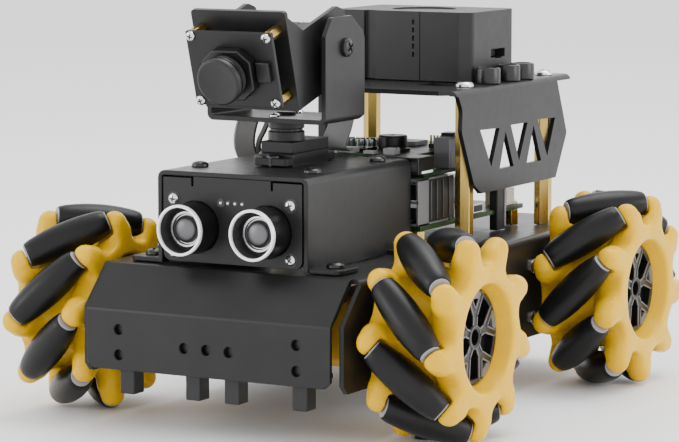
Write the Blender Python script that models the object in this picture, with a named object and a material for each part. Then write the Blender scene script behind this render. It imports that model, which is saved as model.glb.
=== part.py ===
"""Four-wheel mecanum robot: bent-sheet chassis, four geared motors with roller wheels,
sonar housing, pan and tilt camera head, and a raised deck with the battery case.

Frame: +X is to the right in a front view, the robot drives towards -Y, +Z is up, and the
wheels stand on Z = 0.
Written in metres; MM turns the millimetre dimensions below into metres."""

import math

import bmesh
import bpy
from mathutils import Matrix, Vector

MM = 0.001
GAP = 0.3                      # clearance between pieces that rest on each other

# ---- driving dimensions, in millimetres -------------------------------------------------
WHEEL_R = 32.9                 # radius of the circle that the rollers draw
WHEEL_X = 64.5                 # middle plane of each wheel
AXLE_Y = (-61.55, 59.05)       # front and rear axles
HUB_HALF = 15.0                # half width of a wheel
ROLLERS = 9
ROLLER_AXIS_R = 27.4           # distance from wheel axis to roller axis, at mid roller
ROLLER_HALF = 14.1             # half length of a roller with its end caps
ROLLER_PHASE = {               # degrees, first roller above straight ahead
    "front_left": 18.5, "front_right": 17.5, "rear_left": 18.5, "rear_right": 3.7,
}
PIN_R, BORE_R = 1.25, 1.6      # roller pin and roller bore
SHAFT_R = 2.7                  # motor output shaft

SHEET = 1.5                    # thickness of the bent sheets
CH_X, CH_TOP, CH_LOW = 46.5, 51.2, 17.4          # chassis channel, outside
CH_FRONT, CH_REAR = -84.25, 96.4                 # top plate, front bend and rear bend
BUMP_X, BUMP_Y, BUMP_Z, BUMP_LOW = 43.5, -96.45, 38.3, 19.3   # front flap: half width, crease, foot

COVER_X, COVER_TOP, COVER_LOW = 27.0, 80.8, 51.5
COVER_Y = (-80.75, -13.25)
SONAR_X, SONAR_Z, SONAR_R, SONAR_FACE_Y = 13.0, 63.5, 8.0, -91.15

PAN_Y = -46.9                  # pan axis, on X = 0
TILT_Y, TILT_Z = -46.9, 118.6  # tilt axis, along X
CAMERA_DOWN = 16.6             # degrees that the camera looks down at rest
YOKE_X, YOKE_LOW, YOKE_TOP = 21.5, 95.1, 128.4
YOKE_Y = (-59.75, -34.45)
BRACKET_X = 16.9

DECK_TOP = 103.0
DECK_X = (-37.0, 41.0)
DECK_Y = (-12.65, 78.0)
POSTS = ((-31.5, 8.0), (35.5, 8.0), (-31.5, 68.0), (35.5, 68.0))
CASE_X, CASE_Y, CASE_Z = (-20.5, 31.0), (20.4, 54.4), (103.3, 126.4)

BOARD_X, BOARD_Y, BOARD_Z = 29.0, (-10.5, 66.0), (57.0, 58.6)


# ---- helpers ----------------------------------------------------------------------------
def clear_scene():
    for obj in list(bpy.data.objects):
        bpy.data.objects.remove(obj, do_unlink=True)


def material(name, colour, rough, metal):
    mat = bpy.data.materials.new(name)
    mat.use_nodes = True
    shader = mat.node_tree.nodes["Principled BSDF"]
    shader.inputs["Base Color"].default_value = (*colour, 1.0)
    shader.inputs["Roughness"].default_value = rough
    shader.inputs["Metallic"].default_value = metal
    return mat


def ngon(count, radius, phase=0.0):
    """Points of a regular polygon, counter-clockwise."""
    return [
        (radius * math.cos(phase + 2 * math.pi * i / count), radius * math.sin(phase + 2 * math.pi * i / count))
        for i in range(count)
    ]


def place(axis, a, b, h):
    """A point with in-plane coordinates a, b and height h along the axis, in millimetres."""
    return {"x": Vector((h, a, b)), "y": Vector((a, h, b)), "z": Vector((a, b, h))}[axis] * MM


def add_prism(bm, axis, outline, low, high):
    """Extrudes a plane outline along one axis. For axis x the outline is (y, z), for y (x, z), for z (x, y)."""
    rings = [[bm.verts.new(place(axis, a, b, h)) for a, b in outline] for h in (low, high)]
    count = len(outline)
    faces = [bm.faces.new(rings[0]), bm.faces.new(rings[1])]
    for i in range(count):
        j = (i + 1) % count
        faces.append(bm.faces.new((rings[0][i], rings[0][j], rings[1][j], rings[1][i])))
    bmesh.ops.recalc_face_normals(bm, faces=faces)
    return [v for ring in rings for v in ring]


def add_box(bm, x, y, z):
    return add_prism(bm, "z", [(x[0], y[0]), (x[1], y[0]), (x[1], y[1]), (x[0], y[1])], z[0], z[1])


def add_round(bm, axis, centre, radius, low, high, count=16):
    return add_prism(bm, axis, [(centre[0] + a, centre[1] + b) for a, b in ngon(count, radius, math.pi / count)], low, high)


def rounded(points, radii, steps=2):
    """The outline with each corner rounded by its own radius."""
    out = []
    count = len(points)
    for i, (point, radius) in enumerate(zip(points, radii)):
        here = Vector(point)
        if not radius:
            out.append(tuple(here))
            continue
        before = (Vector(points[i - 1]) - here).normalized()
        after = (Vector(points[(i + 1) % count]) - here).normalized()
        half = before.angle(after) / 2
        reach = radius / math.tan(half)
        centre = here + (before + after).normalized() * (radius / math.sin(half))
        first, last = here + before * reach - centre, here + after * reach - centre
        for k in range(steps + 1):
            t = k / steps
            arm = first.lerp(last, t).normalized() * radius
            out.append(tuple(centre + arm))
    return out


def make(name, bm, mat, at=(0.0, 0.0, 0.0), parent=None, turn=None, smooth=True):
    """Makes a named object of the mesh. Its points are world millimetres turned to metres,
    and its origin goes to `at`."""
    origin = Vector(at) * MM
    bmesh.ops.translate(bm, verts=bm.verts, vec=-origin)
    if turn is not None:
        bmesh.ops.transform(bm, matrix=turn, verts=bm.verts)
    mesh = bpy.data.meshes.new(name)
    bm.to_mesh(mesh)
    bm.free()
    obj = bpy.data.objects.new(name, mesh)
    bpy.context.scene.collection.objects.link(obj)
    obj.location = origin
    if mat:
        mesh.materials.append(mat)
    if smooth:
        mesh.shade_smooth()
        mesh.set_sharp_from_angle(angle=math.radians(35))
    if parent:
        obj.parent = parent
        obj.matrix_parent_inverse = parent.matrix_world.inverted()
    return obj


def helper(name, bm):
    """A cutter, or a shape to join, that isn't part of the object."""
    obj = make(name, bm, None, smooth=False)
    obj.hide_render = True
    obj.display_type = "WIRE"
    return obj


def boolean(obj, other, operation):
    modifier = obj.modifiers.new(operation.lower() + "_" + other.name, "BOOLEAN")
    modifier.operation = operation
    modifier.object = other
    modifier.solver = "EXACT"


def joined(name, shapes, mat, at=(0.0, 0.0, 0.0), parent=None, cutter=None, turn=None):
    """Joins overlapping shapes into one body. Each shape is a function that fills a bmesh."""
    bm = bmesh.new()
    shapes[0](bm)
    obj = make(name, bm, mat, at, parent, turn)
    for i, shape in enumerate(shapes[1:]):
        bm = bmesh.new()
        shape(bm)
        if turn is not None:
            bmesh.ops.translate(bm, verts=bm.verts, vec=-Vector(at) * MM)
            bmesh.ops.transform(bm, matrix=turn, verts=bm.verts)
            bmesh.ops.translate(bm, verts=bm.verts, vec=Vector(at) * MM)
        boolean(obj, helper(f"{name}_add{i}", bm), "UNION")
    if cutter:
        bm = bmesh.new()
        cutter(bm)
        if turn is not None:
            bmesh.ops.translate(bm, verts=bm.verts, vec=-Vector(at) * MM)
            bmesh.ops.transform(bm, matrix=turn, verts=bm.verts)
            bmesh.ops.translate(bm, verts=bm.verts, vec=Vector(at) * MM)
        boolean(obj, helper(f"{name}_cut", bm), "DIFFERENCE")
    return obj


def empty(name, at, parent=None):
    obj = bpy.data.objects.new(name, None)
    bpy.context.scene.collection.objects.link(obj)
    obj.location = Vector(at) * MM
    bpy.context.view_layer.update()
    if parent:
        obj.parent = parent
        obj.matrix_parent_inverse = parent.matrix_world.inverted()
    bpy.context.view_layer.update()
    return obj


# ---- materials --------------------------------------------------------------------------
clear_scene()
BLACK_SHEET = material("black_powder_coat", (0.018, 0.018, 0.019), 0.45, 0.2)
BLACK_PLASTIC = material("black_plastic", (0.015, 0.015, 0.016), 0.4, 0.0)
RUBBER = material("roller_rubber", (0.012, 0.012, 0.013), 0.5, 0.0)
YELLOW = material("yellow_plastic", (0.83, 0.47, 0.02), 0.38, 0.0)
BRASS = material("brass", (0.72, 0.5, 0.2), 0.28, 1.0)
SILVER = material("silver", (0.7, 0.7, 0.7), 0.3, 0.9)
BOARD = material("circuit_board", (0.03, 0.12, 0.04), 0.5, 0.0)


# ---- chassis ----------------------------------------------------------------------------
def chassis():
    top_front = CH_FRONT + 0.6

    def top(bm):
        add_box(bm, (-CH_X, CH_X), (top_front, CH_REAR), (CH_TOP - SHEET, CH_TOP))

    def side(sign):
        # The front edge runs parallel to the flap, 1.6 mm behind it.
        outline = [
            (CH_FRONT + 3.0, CH_TOP - 0.2),
            (BUMP_Y + 3.1, BUMP_Z - 0.4),
            (BUMP_Y + 3.1, CH_LOW + 2.2),
            (BUMP_Y + 6.0, CH_LOW),
            (CH_REAR - 3.0, CH_LOW),
            (CH_REAR, CH_LOW + 3.0),
            (CH_REAR, CH_TOP - 0.2),
        ]
        inner, outer = sorted((sign * (CH_X - SHEET), sign * CH_X))
        return lambda bm: add_prism(bm, "x", outline, inner, outer)

    def flap(bm):
        # Slopes down and forward to the crease, then hangs straight down.
        t = SHEET
        add_prism(
            bm,
            "x",
            [
                (CH_FRONT + 1.4, CH_TOP),
                (CH_FRONT, CH_TOP),
                (BUMP_Y, BUMP_Z),
                (BUMP_Y, BUMP_LOW),
                (BUMP_Y + t, BUMP_LOW),
                (BUMP_Y + t, BUMP_Z - 0.6),
                (CH_FRONT + 1.4, CH_TOP - t),
            ],
            -BUMP_X,
            BUMP_X,
        )

    def rear(bm):
        add_box(bm, (-CH_X + 5.0, CH_X - 5.0), (CH_REAR - SHEET, CH_REAR), (24.0, CH_TOP - 0.3))

    def cut(bm):
        low, high = BUMP_Y - 2.0, BUMP_Y + 3.0
        for x, z in [(sx * 31.8, z) for sx in (-1, 1) for z in (32.0, 24.0)] + [(x, 27.9) for x in (-8.0, 0.0, 8.0)]:
            add_round(bm, "y", (x, z), 1.7, low, high, 8)
        for sign in (-1, 1):
            # lower corners of the flap are cut off as small chamfers
            add_prism(
                bm,
                "y",
                [(sign * (BUMP_X - 3.0), BUMP_LOW - 1.0), (sign * (BUMP_X + 1.0), BUMP_LOW - 1.0), (sign * (BUMP_X + 1.0), BUMP_LOW + 3.0)],
                low,
                high,
            )
            inner, outer = sorted((sign * (CH_X - 4.0), sign * (CH_X + 2.0)))
            for y in AXLE_Y:
                add_round(bm, "x", (y, WHEEL_R), 5.0, inner, outer, 12)
        # cable window in the top, under the sonar housing
        add_box(bm, (-12.0, 12.0), (-62.0, -38.0), (CH_TOP - 5.0, CH_TOP + 3.0))

    joined("chassis_frame", [top, side(-1), side(1), flap, rear], BLACK_SHEET, cutter=cut)


# ---- geared motors ----------------------------------------------------------------------
def motor(name, side, axle_y, toward):
    """Gear box, motor can and output shaft. `toward` is +1 where the can lies towards +Y."""
    out = CH_X - SHEET - GAP
    x = sorted((side * (out - 18.8), side * out))
    z = (WHEEL_R - 11.2, WHEEL_R + 11.2)
    y = lambda a, b: tuple(sorted((axle_y + toward * a, axle_y + toward * b)))
    mid_x = side * (out - 9.4)

    def box(bm):
        add_box(bm, x, y(-11.0, 27.0), z)

    def can(bm):
        low, high = y(26.0, 51.0)
        add_prism(
            bm,
            "y",
            [(mid_x + a, WHEEL_R + b) for a, b in ((-7.6, -10.0), (7.6, -10.0), (9.2, -5.0), (9.2, 5.0), (7.6, 10.0), (-7.6, 10.0), (-9.2, 5.0), (-9.2, -5.0))],
            low,
            high,
        )

    def end(bm):
        low, high = y(50.0, 58.0)
        add_round(bm, "y", (mid_x, WHEEL_R), 5.0, low, high, 10)

    def shaft(bm):
        low, high = sorted((side * (out - 3.0), side * (out + 9.0)))
        add_round(bm, "x", (axle_y, WHEEL_R), SHAFT_R, low, high, 10)

    joined(name, [box, can, end, shaft], YELLOW)


# ---- wheels -----------------------------------------------------------------------------
C45 = math.sqrt(0.5)


def roller_radius_points(half, rings):
    """Points (s, r) of the roller profile that fills the circle WHEEL_R: the circle's normal
    at each contact passes through both the wheel axis and the roller axis."""
    points = []
    for i in range(rings):
        target = -half + 2 * half * i / (rings - 1)
        u = target
        for _ in range(30):
            rho = math.sqrt(ROLLER_AXIS_R**2 + u * u / 2)
            u = target / (1 + (WHEEL_R - rho) / (2 * rho))
        rho = math.sqrt(ROLLER_AXIS_R**2 + u * u / 2)
        points.append((target, (WHEEL_R - rho) * math.sqrt(1 - (u / (2 * rho)) ** 2)))
    return points


def wheel_axes(side, hand, angle):
    """Outward, radial, tangential and roller-axis directions at an angle above straight ahead."""
    out = Vector((side, 0, 0))
    radial = Vector((0, -math.cos(angle), math.sin(angle)))
    tangent = Vector((0, math.sin(angle), math.cos(angle)))
    axis = (out - hand * tangent) * C45
    return out, radial, tangent, axis


def add_frame_prism(bm, centre, u, v, w, outlines):
    """Lofts outlines, each (height along w, points in u and v), in millimetres."""
    rings = [[bm.verts.new((centre + u * a + v * b + w * h) * MM) for a, b in points] for h, points in outlines]
    count = len(rings[0])
    faces = [bm.faces.new(rings[0]), bm.faces.new(rings[-1])]
    for lower, upper in zip(rings, rings[1:]):
        for i in range(count):
            j = (i + 1) % count
            faces.append(bm.faces.new((lower[i], lower[j], upper[j], upper[i])))
    bmesh.ops.recalc_face_normals(bm, faces=faces)


def wheel(tag, side, hand, axle_y):
    centre = Vector((side * WHEEL_X, axle_y, WHEEL_R))
    root = empty(f"axis_wheel_{tag}", centre)

    def barrel(bm):
        # Turned profile, outward coordinate and radius: ring faces, waist, recess for the
        # spoked centre on the outer side, recess for the gear box on the inner side.
        profile = [
            (HUB_HALF, 17.6), (HUB_HALF, 21.6), (7.5, 22.0), (5.0, 20.8),
            (-5.0, 20.8), (-7.5, 22.0), (-HUB_HALF, 21.6), (-HUB_HALF, 17.6),
            (-9.0, 16.8), (-9.0, SHAFT_R + 0.4), (10.6, SHAFT_R + 0.4), (11.0, 14.7),
        ]
        count = 18
        rings = []
        for i in range(count):
            t = 2 * math.pi * i / count
            rings.append([bm.verts.new((centre + Vector((side * a, math.cos(t) * r, math.sin(t) * r))) * MM) for a, r in profile])
        faces = []
        for i in range(count):
            a, b = rings[i], rings[(i + 1) % count]
            for k in range(len(profile)):
                m = (k + 1) % len(profile)
                faces.append(bm.faces.new((a[k], a[m], b[m], b[k])))
        bmesh.ops.recalc_face_normals(bm, faces=faces)

    def lobe(angle, end):
        """One finger that carries a roller's pin. `end` is +1 on the outer ring."""
        out, radial, tangent, axis = wheel_axes(side, hand, angle)
        along = axis * end
        across = (out + hand * tangent) * C45
        seat = centre + radial * ROLLER_AXIS_R + along * (ROLLER_HALF + GAP)
        # The finger stands on the ring and reaches out to the pin in the plane square to the
        # pin, so its face towards the roller keeps the end clearance.
        spoke = seat - centre
        spoke -= out * spoke.dot(out)
        up = spoke.normalized()
        up = (up - along * up.dot(along)).normalized()
        wide = along.cross(up)
        sections = [
            (height, [(0.0, -half_w), (thick * 0.55, -half_w), (thick, -half_w * 0.5), (thick, half_w * 0.5), (thick * 0.55, half_w), (0.0, half_w)])
            for height, half_w, thick in ((-9.5, 3.7, 3.4), (0.2, 3.3, 3.2), (2.5, 1.8, 2.4))
        ]
        return lambda bm: add_frame_prism(bm, seat, along, wide, up, sections)

    def pin(angle):
        out, radial, tangent, axis = wheel_axes(side, hand, angle)
        mid = centre + radial * ROLLER_AXIS_R
        reach = ROLLER_HALF + GAP + 1.6
        return lambda bm: add_frame_prism(
            bm, mid, radial, axis.cross(radial), axis, [(-reach, ngon(6, PIN_R)), (reach, ngon(6, PIN_R))]
        )

    angles = [math.radians(ROLLER_PHASE[tag] + 360.0 / ROLLERS * k) for k in range(ROLLERS)]
    shapes = [barrel]
    for a in angles:
        shapes += [lobe(a, 1), lobe(a, -1), pin(a)]
    joined(f"wheel_{tag}", shapes, YELLOW, at=centre, parent=root)

    sides = bore = 10
    for k, a in enumerate(angles):
        out, radial, tangent, axis = wheel_axes(side, hand, a)
        mid = centre + radial * ROLLER_AXIS_R
        v = axis.cross(radial)
        bm = bmesh.new()
        points = roller_radius_points(ROLLER_HALF, 6)
        outer = [[bm.verts.new((mid + axis * s + (radial * p + v * q)) * MM) for p, q in ngon(sides, r)] for s, r in points]
        inner = [[bm.verts.new((mid + axis * s + (radial * p + v * q)) * MM) for p, q in ngon(bore, BORE_R)] for s in (points[0][0], points[-1][0])]
        faces = []
        for lower, upper in zip(outer, outer[1:]):
            for i in range(sides):
                j = (i + 1) % sides
                faces.append(bm.faces.new((lower[i], lower[j], upper[j], upper[i])))
        for i in range(bore):
            j = (i + 1) % bore
            faces.append(bm.faces.new((inner[0][i], inner[0][j], inner[1][j], inner[1][i])))
        for ring_o, ring_i in ((outer[0], inner[0]), (outer[-1], inner[1])):
            for i in range(sides):
                j = (i + 1) % sides
                faces.append(bm.faces.new((ring_o[i], ring_o[j], ring_i[j], ring_i[i])))
        bmesh.ops.recalc_face_normals(bm, faces=bm.faces[:])
        make(f"roller_{tag}_{k + 1}", bm, RUBBER, at=mid, parent=root)


# ---- sonar housing ----------------------------------------------------------------------
def sensor_cover():
    y0, y1 = COVER_Y
    x, t = COVER_X, SHEET

    def shell(bm):
        r = 2.2
        outline = rounded([(-x, COVER_LOW), (-x, COVER_TOP), (x, COVER_TOP), (x, COVER_LOW), (x - t, COVER_LOW), (x - t, COVER_TOP - t), (-x + t, COVER_TOP - t), (-x + t, COVER_LOW)],
                          [0, r, r, 0, 0, r - t + 0.3, r - t + 0.3, 0])
        add_prism(bm, "y", outline, y0 + 0.5, y1)

    def front(bm):
        add_box(bm, (-x + 0.7, x - 0.7), (y0, y0 + t), (COVER_LOW + 0.8, COVER_TOP - 0.6))

    def foot(sign):
        inner, outer = sorted((sign * (x - 1.0), sign * (x + 11.0)))
        return lambda bm: add_box(bm, (inner, outer), (y0 + 1.5, y0 + 14.0), (COVER_LOW, COVER_LOW + t))

    def foot_back(sign):
        inner, outer = sorted((sign * (x - 1.0), sign * (x + 11.0)))
        return lambda bm: add_box(bm, (inner, outer), (y1 - 16.0, y1 - 2.0), (COVER_LOW, COVER_LOW + t))

    def cut(bm):
        for sign in (-1, 1):
            add_round(bm, "y", (sign * SONAR_X, SONAR_Z), SONAR_R + 0.5, y0 - 2.0, y0 + 4.0, 20)
            # bend relief slots on the top, either side of the front flap
            add_box(bm, (sign * 14.0 - 0.8, sign * 14.0 + 0.8), (y0 - 1.0, y0 + 2.6), (COVER_TOP - 2.6, COVER_TOP + 1.0))
        # slot for the header pins of the sonar board
        add_box(bm, (-5.4, 5.4), (y0 - 2.0, y0 + 4.0), (71.0, 73.4))
        # opening for the pan servo
        add_box(bm, (-6.6, 6.6), (PAN_Y - 6.5, PAN_Y + 17.5), (COVER_TOP - 4.0, COVER_TOP + 2.0))

    joined("sensor_cover", [shell, front, foot(-1), foot(1), foot_back(-1), foot_back(1)], BLACK_SHEET, cutter=cut)


def sonar_module():
    back = COVER_Y[0] + SHEET + GAP

    def board(bm):
        add_box(bm, (-22.5, 22.5), (back, back + 1.6), (53.4, 73.8))

    def eye(sign):
        return lambda bm: add_round(bm, "y", (sign * SONAR_X, SONAR_Z), SONAR_R, SONAR_FACE_Y, back + 0.8, 20)

    def plug(bm):
        add_box(bm, (-5.1, 5.1), (back + 1.0, back + 7.0), (70.0, 73.0))

    def cut(bm):
        for sign in (-1, 1):
            add_round(bm, "y", (sign * SONAR_X, SONAR_Z), SONAR_R - 1.4, SONAR_FACE_Y - 1.0, SONAR_FACE_Y + 2.2, 20)

    joined("sonar_module", [board, eye(-1), eye(1), plug], BLACK_PLASTIC, cutter=cut)


def line_sensor():
    y = BUMP_Y + SHEET + GAP

    def upright(bm):
        add_box(bm, (-37.0, 37.0), (y, y + 1.6), (20.4, 36.4))

    def shelf(bm):
        add_box(bm, (-37.0, 37.0), (y + 0.8, y + 12.0), (20.4, 22.0))

    def post(x):
        return lambda bm: add_box(bm, (x - 2.6, x + 2.6), (y + 1.8, y + 7.6), (11.2, 21.2))

    joined("line_sensor_board", [upright, shelf, post(-31.0), post(-7.0), post(7.0), post(31.0)], BLACK_PLASTIC)


# ---- pan and tilt head ------------------------------------------------------------------
def pan_servo():
    def body(bm):
        add_box(bm, (-5.9, 5.9), (PAN_Y - 5.9, PAN_Y + 16.9), (66.5, 88.5))

    def ears(bm):
        add_box(bm, (-5.9, 5.9), (PAN_Y - 10.4, PAN_Y + 21.4), (COVER_TOP + GAP, COVER_TOP + GAP + 2.5))

    def tower(bm):
        add_round(bm, "z", (0.0, PAN_Y), 5.7, 88.0, 92.0, 14)

    joined("pan_servo", [body, ears, tower], BLACK_PLASTIC)


def pan_yoke():
    root = empty("axis_pan", (0.0, PAN_Y, YOKE_LOW))
    y0, y1 = YOKE_Y

    def floor(bm):
        add_box(bm, (-YOKE_X + 0.4, YOKE_X - 0.4), (y0, y1), (YOKE_LOW, YOKE_LOW + SHEET))

    def arm(sign):
        outline = rounded(
            [(y0, YOKE_LOW), (y0, 122.6), (y0 + 4.4, YOKE_TOP), (y1 - 8.4, YOKE_TOP), (y1 - 1.2, 123.4), (y1, 121.0), (y1, YOKE_LOW)],
            [0, 0, 0, 0, 0, 0, 1.6],
        )
        inner, outer = sorted((sign * (YOKE_X - SHEET), sign * YOKE_X))
        return lambda bm: add_prism(bm, "x", outline, inner, outer)

    def horn(bm):
        add_round(bm, "z", (0.0, PAN_Y), 5.7, 92.4, YOKE_LOW + 0.7, 14)

    def pivot(bm):
        # the idle pivot, a shouldered screw through the right arm
        add_round(bm, "x", (TILT_Y, TILT_Z), 1.5, BRACKET_X - 4.0, YOKE_X + 0.5, 10)

    def head(bm):
        add_round(bm, "x", (TILT_Y, TILT_Z), 2.8, YOKE_X - 0.4, YOKE_X + 1.6, 12)

    def drive(bm):
        # the horn of the tilt servo, fixed on the left arm
        add_round(bm, "x", (TILT_Y, TILT_Z), 3.5, -YOKE_X + 0.8, -YOKE_X + SHEET + 0.9, 12)

    joined("pan_yoke", [floor, arm(-1), arm(1), horn, pivot, head, drive], BLACK_SHEET, at=(0.0, PAN_Y, YOKE_LOW), parent=root)
    return root


def tilt_head(pan):
    """The camera bracket, tilt servo and camera are drawn level, looking along -Y from the
    tilt axis, then turned down by CAMERA_DOWN."""
    at = (0.0, TILT_Y, TILT_Z)
    root = empty("axis_tilt", at, pan)
    turn = Matrix.Rotation(math.radians(CAMERA_DOWN), 4, "X")
    x, t = BRACKET_X, SHEET
    Y = lambda a: TILT_Y - a
    Z = lambda b: TILT_Z + b

    def flange(sign):
        outline = [(Y(a), Z(b)) for a, b in ((25.0, 20.2), (16.3, 11.3), (-6.0, 11.5), (-10.4, 8.7), (-10.4, -8.0), (-7.0, -11.7), (25.0, -11.7))]
        inner, outer = sorted((sign * (x - t), sign * x))
        return lambda bm: add_prism(bm, "x", outline, inner, outer)

    def plate(bm):
        add_box(bm, (-x + 0.3, x - 0.3), (Y(25.4), Y(25.4 - t)), (Z(-12.0), Z(20.4)))

    def cut(bm):
        add_round(bm, "x", (TILT_Y, TILT_Z), 1.5 + GAP, x - 4.0, x + 2.0, 10)
        add_round(bm, "x", (TILT_Y, TILT_Z), 6.2, -x - 2.0, -x + 4.0, 14)
        add_box(bm, (-5.0, 5.0), (Y(28.0), Y(22.0)), (Z(-6.0), Z(-2.0)))

    joined("camera_bracket", [plate, flange(-1), flange(1)], BLACK_SHEET, at=at, parent=root, cutter=cut, turn=turn)

    def servo_body(bm):
        add_box(bm, (-x + t + GAP, 7.2), (Y(16.9), Y(-5.9)), (Z(-5.9), Z(5.9)))

    def servo_tower(bm):
        add_round(bm, "x", (TILT_Y, TILT_Z), 5.7, -YOKE_X + SHEET + 1.2, -x + t + 1.0, 14)

    def servo_ears(bm):
        add_box(bm, (-x + t + GAP + 4.0, -x + t + GAP + 6.5), (Y(21.4), Y(-10.0)), (Z(-5.9), Z(5.9)))

    joined("tilt_servo", [servo_body, servo_tower, servo_ears], BLACK_PLASTIC, at=at, parent=root, turn=turn)

    def board(bm):
        add_box(bm, (-15.3, 15.3), (Y(32.8), Y(31.3)), (Z(-8.2), Z(16.0)))

    def spacer(px, pz):
        return lambda bm: add_round(bm, "y", (px, Z(pz)), 1.2, Y(32.0), Y(25.4 + GAP), 8)

    def mount(bm):
        add_prism(bm, "y", [(a, Z(3.2 + b)) for a, b in ((-8.5, -4.5), (-4.5, -8.0), (4.5, -8.0), (8.5, -4.5), (8.5, 4.5), (4.5, 8.0), (-4.5, 8.0), (-8.5, 4.5))], Y(36.5), Y(32.0))

    def lens(bm):
        add_round(bm, "y", (0.0, Z(3.2)), 6.8, Y(42.8), Y(36.0), 20)

    joined("camera_module",
           [board, mount, lens] + [spacer(sx * 12.0, z) for sx in (-1, 1) for z in (-7.0, 14.8)],
           BLACK_PLASTIC, at=at, parent=root, turn=turn)


# ---- deck -------------------------------------------------------------------------------
def deck():
    x0, x1 = DECK_X
    y0, y1 = DECK_Y

    def plate(bm):
        outline = rounded([(x0, y0 + 5.0), (x0 + 5.0, y0), (x1 - 5.0, y0), (x1, y0 + 5.0), (x1, y1), (x0, y1)], [0, 0, 0, 0, 2.0, 2.0])
        add_prism(bm, "z", outline, DECK_TOP - SHEET, DECK_TOP)

    skirt = [(-7.6, 102.8), (-4.2, 96.3), (-4.8, 89.4), (4.2, 71.5), (9.7, 68.1), (66.6, 68.1), (75.3, 82.9), (68.7, 98.1), (66.0, 102.8)]

    def side(sign):
        # the skirt hangs down on the right; on the left there is only a lip
        if sign > 0:
            outline = rounded([p for p in skirt], [0, 0, 0, 2.0, 2.5, 2.5, 0, 0, 0])
            return lambda bm: add_prism(bm, "x", outline, x1 - SHEET, x1)
        lip = rounded([(-4.0, 102.8), (-2.0, 96.5), (68.0, 96.5), (70.0, 102.8)], [0, 2.0, 2.0, 0])
        return lambda bm: add_prism(bm, "x", lip, x0, x0 + SHEET)

    def cut(bm):
        down = [[(8.6, 89.0), (22.8, 88.6), (16.9, 76.2)], [(31.4, 88.9), (44.1, 88.8), (37.8, 76.5)], [(52.1, 89.2), (65.8, 88.8), (59.7, 76.1)]]
        up = [[(27.4, 87.1), (33.6, 75.0), (23.2, 75.0)], [(48.8, 87.5), (54.9, 75.0), (43.6, 75.0)]]
        for triangle in down + up:
            add_prism(bm, "x", triangle, x1 - 4.0, x1 + 2.0)
        # cable hole in the middle of the plate
        add_prism(bm, "z", [(a, -2.0 + b) for a, b in ngon(12, 6.0)], DECK_TOP - 4.0, DECK_TOP + 2.0)

    joined("deck_plate", [plate, side(-1), side(1)], BLACK_SHEET, cutter=cut)

    for i, (px, py) in enumerate(POSTS):
        bm = bmesh.new()
        add_prism(bm, "z", [(px + a, py + b) for a, b in ngon(6, 3.1, math.radians(30))], CH_TOP + GAP, DECK_TOP - SHEET - GAP)
        make(("standoff_front_left", "standoff_front_right", "standoff_rear_left", "standoff_rear_right")[i], bm, BRASS, at=(px, py, CH_TOP), smooth=False)


def battery_case():
    (x0, x1), (y0, y1), (z0, z1) = CASE_X, CASE_Y, CASE_Z
    c = 3.5
    outline = [(x0 + c, y0), (x1 - c, y0), (x1, y0 + c), (x1, y1 - c), (x1 - c, y1), (x0 + c, y1), (x0, y1 - c), (x0, y0 + c)]

    def body(bm):
        add_prism(bm, "z", outline, z0, z1)

    def cut(bm):
        add_round(bm, "z", ((x0 + x1) / 2, (y0 + y1) / 2), 11.0, z1 - 1.0, z1 + 2.0, 24)
        add_box(bm, (x1 - 5.0, x1 + 2.0), (36.4, 46.7), (110.2, 113.4))

    joined("battery_case", [body], BLACK_PLASTIC, cutter=cut)


def control_board():
    y0, y1 = BOARD_Y
    z0, z1 = BOARD_Z

    def board(bm):
        add_box(bm, (-BOARD_X + 2.0, BOARD_X), (y0, y1), (z0, z1))

    def leg(x, y):
        return lambda bm: add_round(bm, "z", (x, y), 2.6, CH_TOP + GAP, z0 + 0.8, 8)

    def block(x, y, z):
        return lambda bm: add_box(bm, x, y, z)

    joined(
        "control_board",
        [
            board,
            leg(-22.0, -6.0), leg(24.0, -6.0), leg(-22.0, 61.0), leg(24.0, 61.0),
            block((14.0, 28.4), (-9.5, 0.5), (z1 - 0.4, 74.0)),
            block((-24.0, 27.0), (2.0, 40.0), (z1 - 0.4, 66.0)),
            block((-26.0, 28.6), (-6.0, 58.0), (72.6, 74.2)),
            block((-20.0, 22.0), (8.0, 34.0), (65.6, 73.0)),
            block((12.0, 27.0), (20.0, 32.0), (73.8, 84.0)),
            block((-14.0, 4.0), (-2.0, 22.0), (73.8, 82.0)),
            block((-18.0, 16.0), (44.0, 65.0), (z1 - 0.4, 71.8)),
        ],
        BOARD,
    )


chassis()
for motor_tag, motor_side, motor_axle, motor_toward in (
    ("front_left", -1, AXLE_Y[0], 1), ("front_right", 1, AXLE_Y[0], 1), ("rear_left", -1, AXLE_Y[1], -1), ("rear_right", 1, AXLE_Y[1], -1),
):
    motor(f"gear_motor_{motor_tag}", motor_side, motor_axle, motor_toward)
wheel("front_left", -1, 1, AXLE_Y[0])
wheel("front_right", 1, 1, AXLE_Y[0])
wheel("rear_left", -1, -1, AXLE_Y[1])
wheel("rear_right", 1, -1, AXLE_Y[1])
sensor_cover()
sonar_module()
line_sensor()
pan_servo()
tilt_head(pan_yoke())
deck()
battery_case()
control_board()
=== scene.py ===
import math
import random

import bmesh
import bpy
import numpy as np
from mathutils import Matrix, Vector


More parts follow.
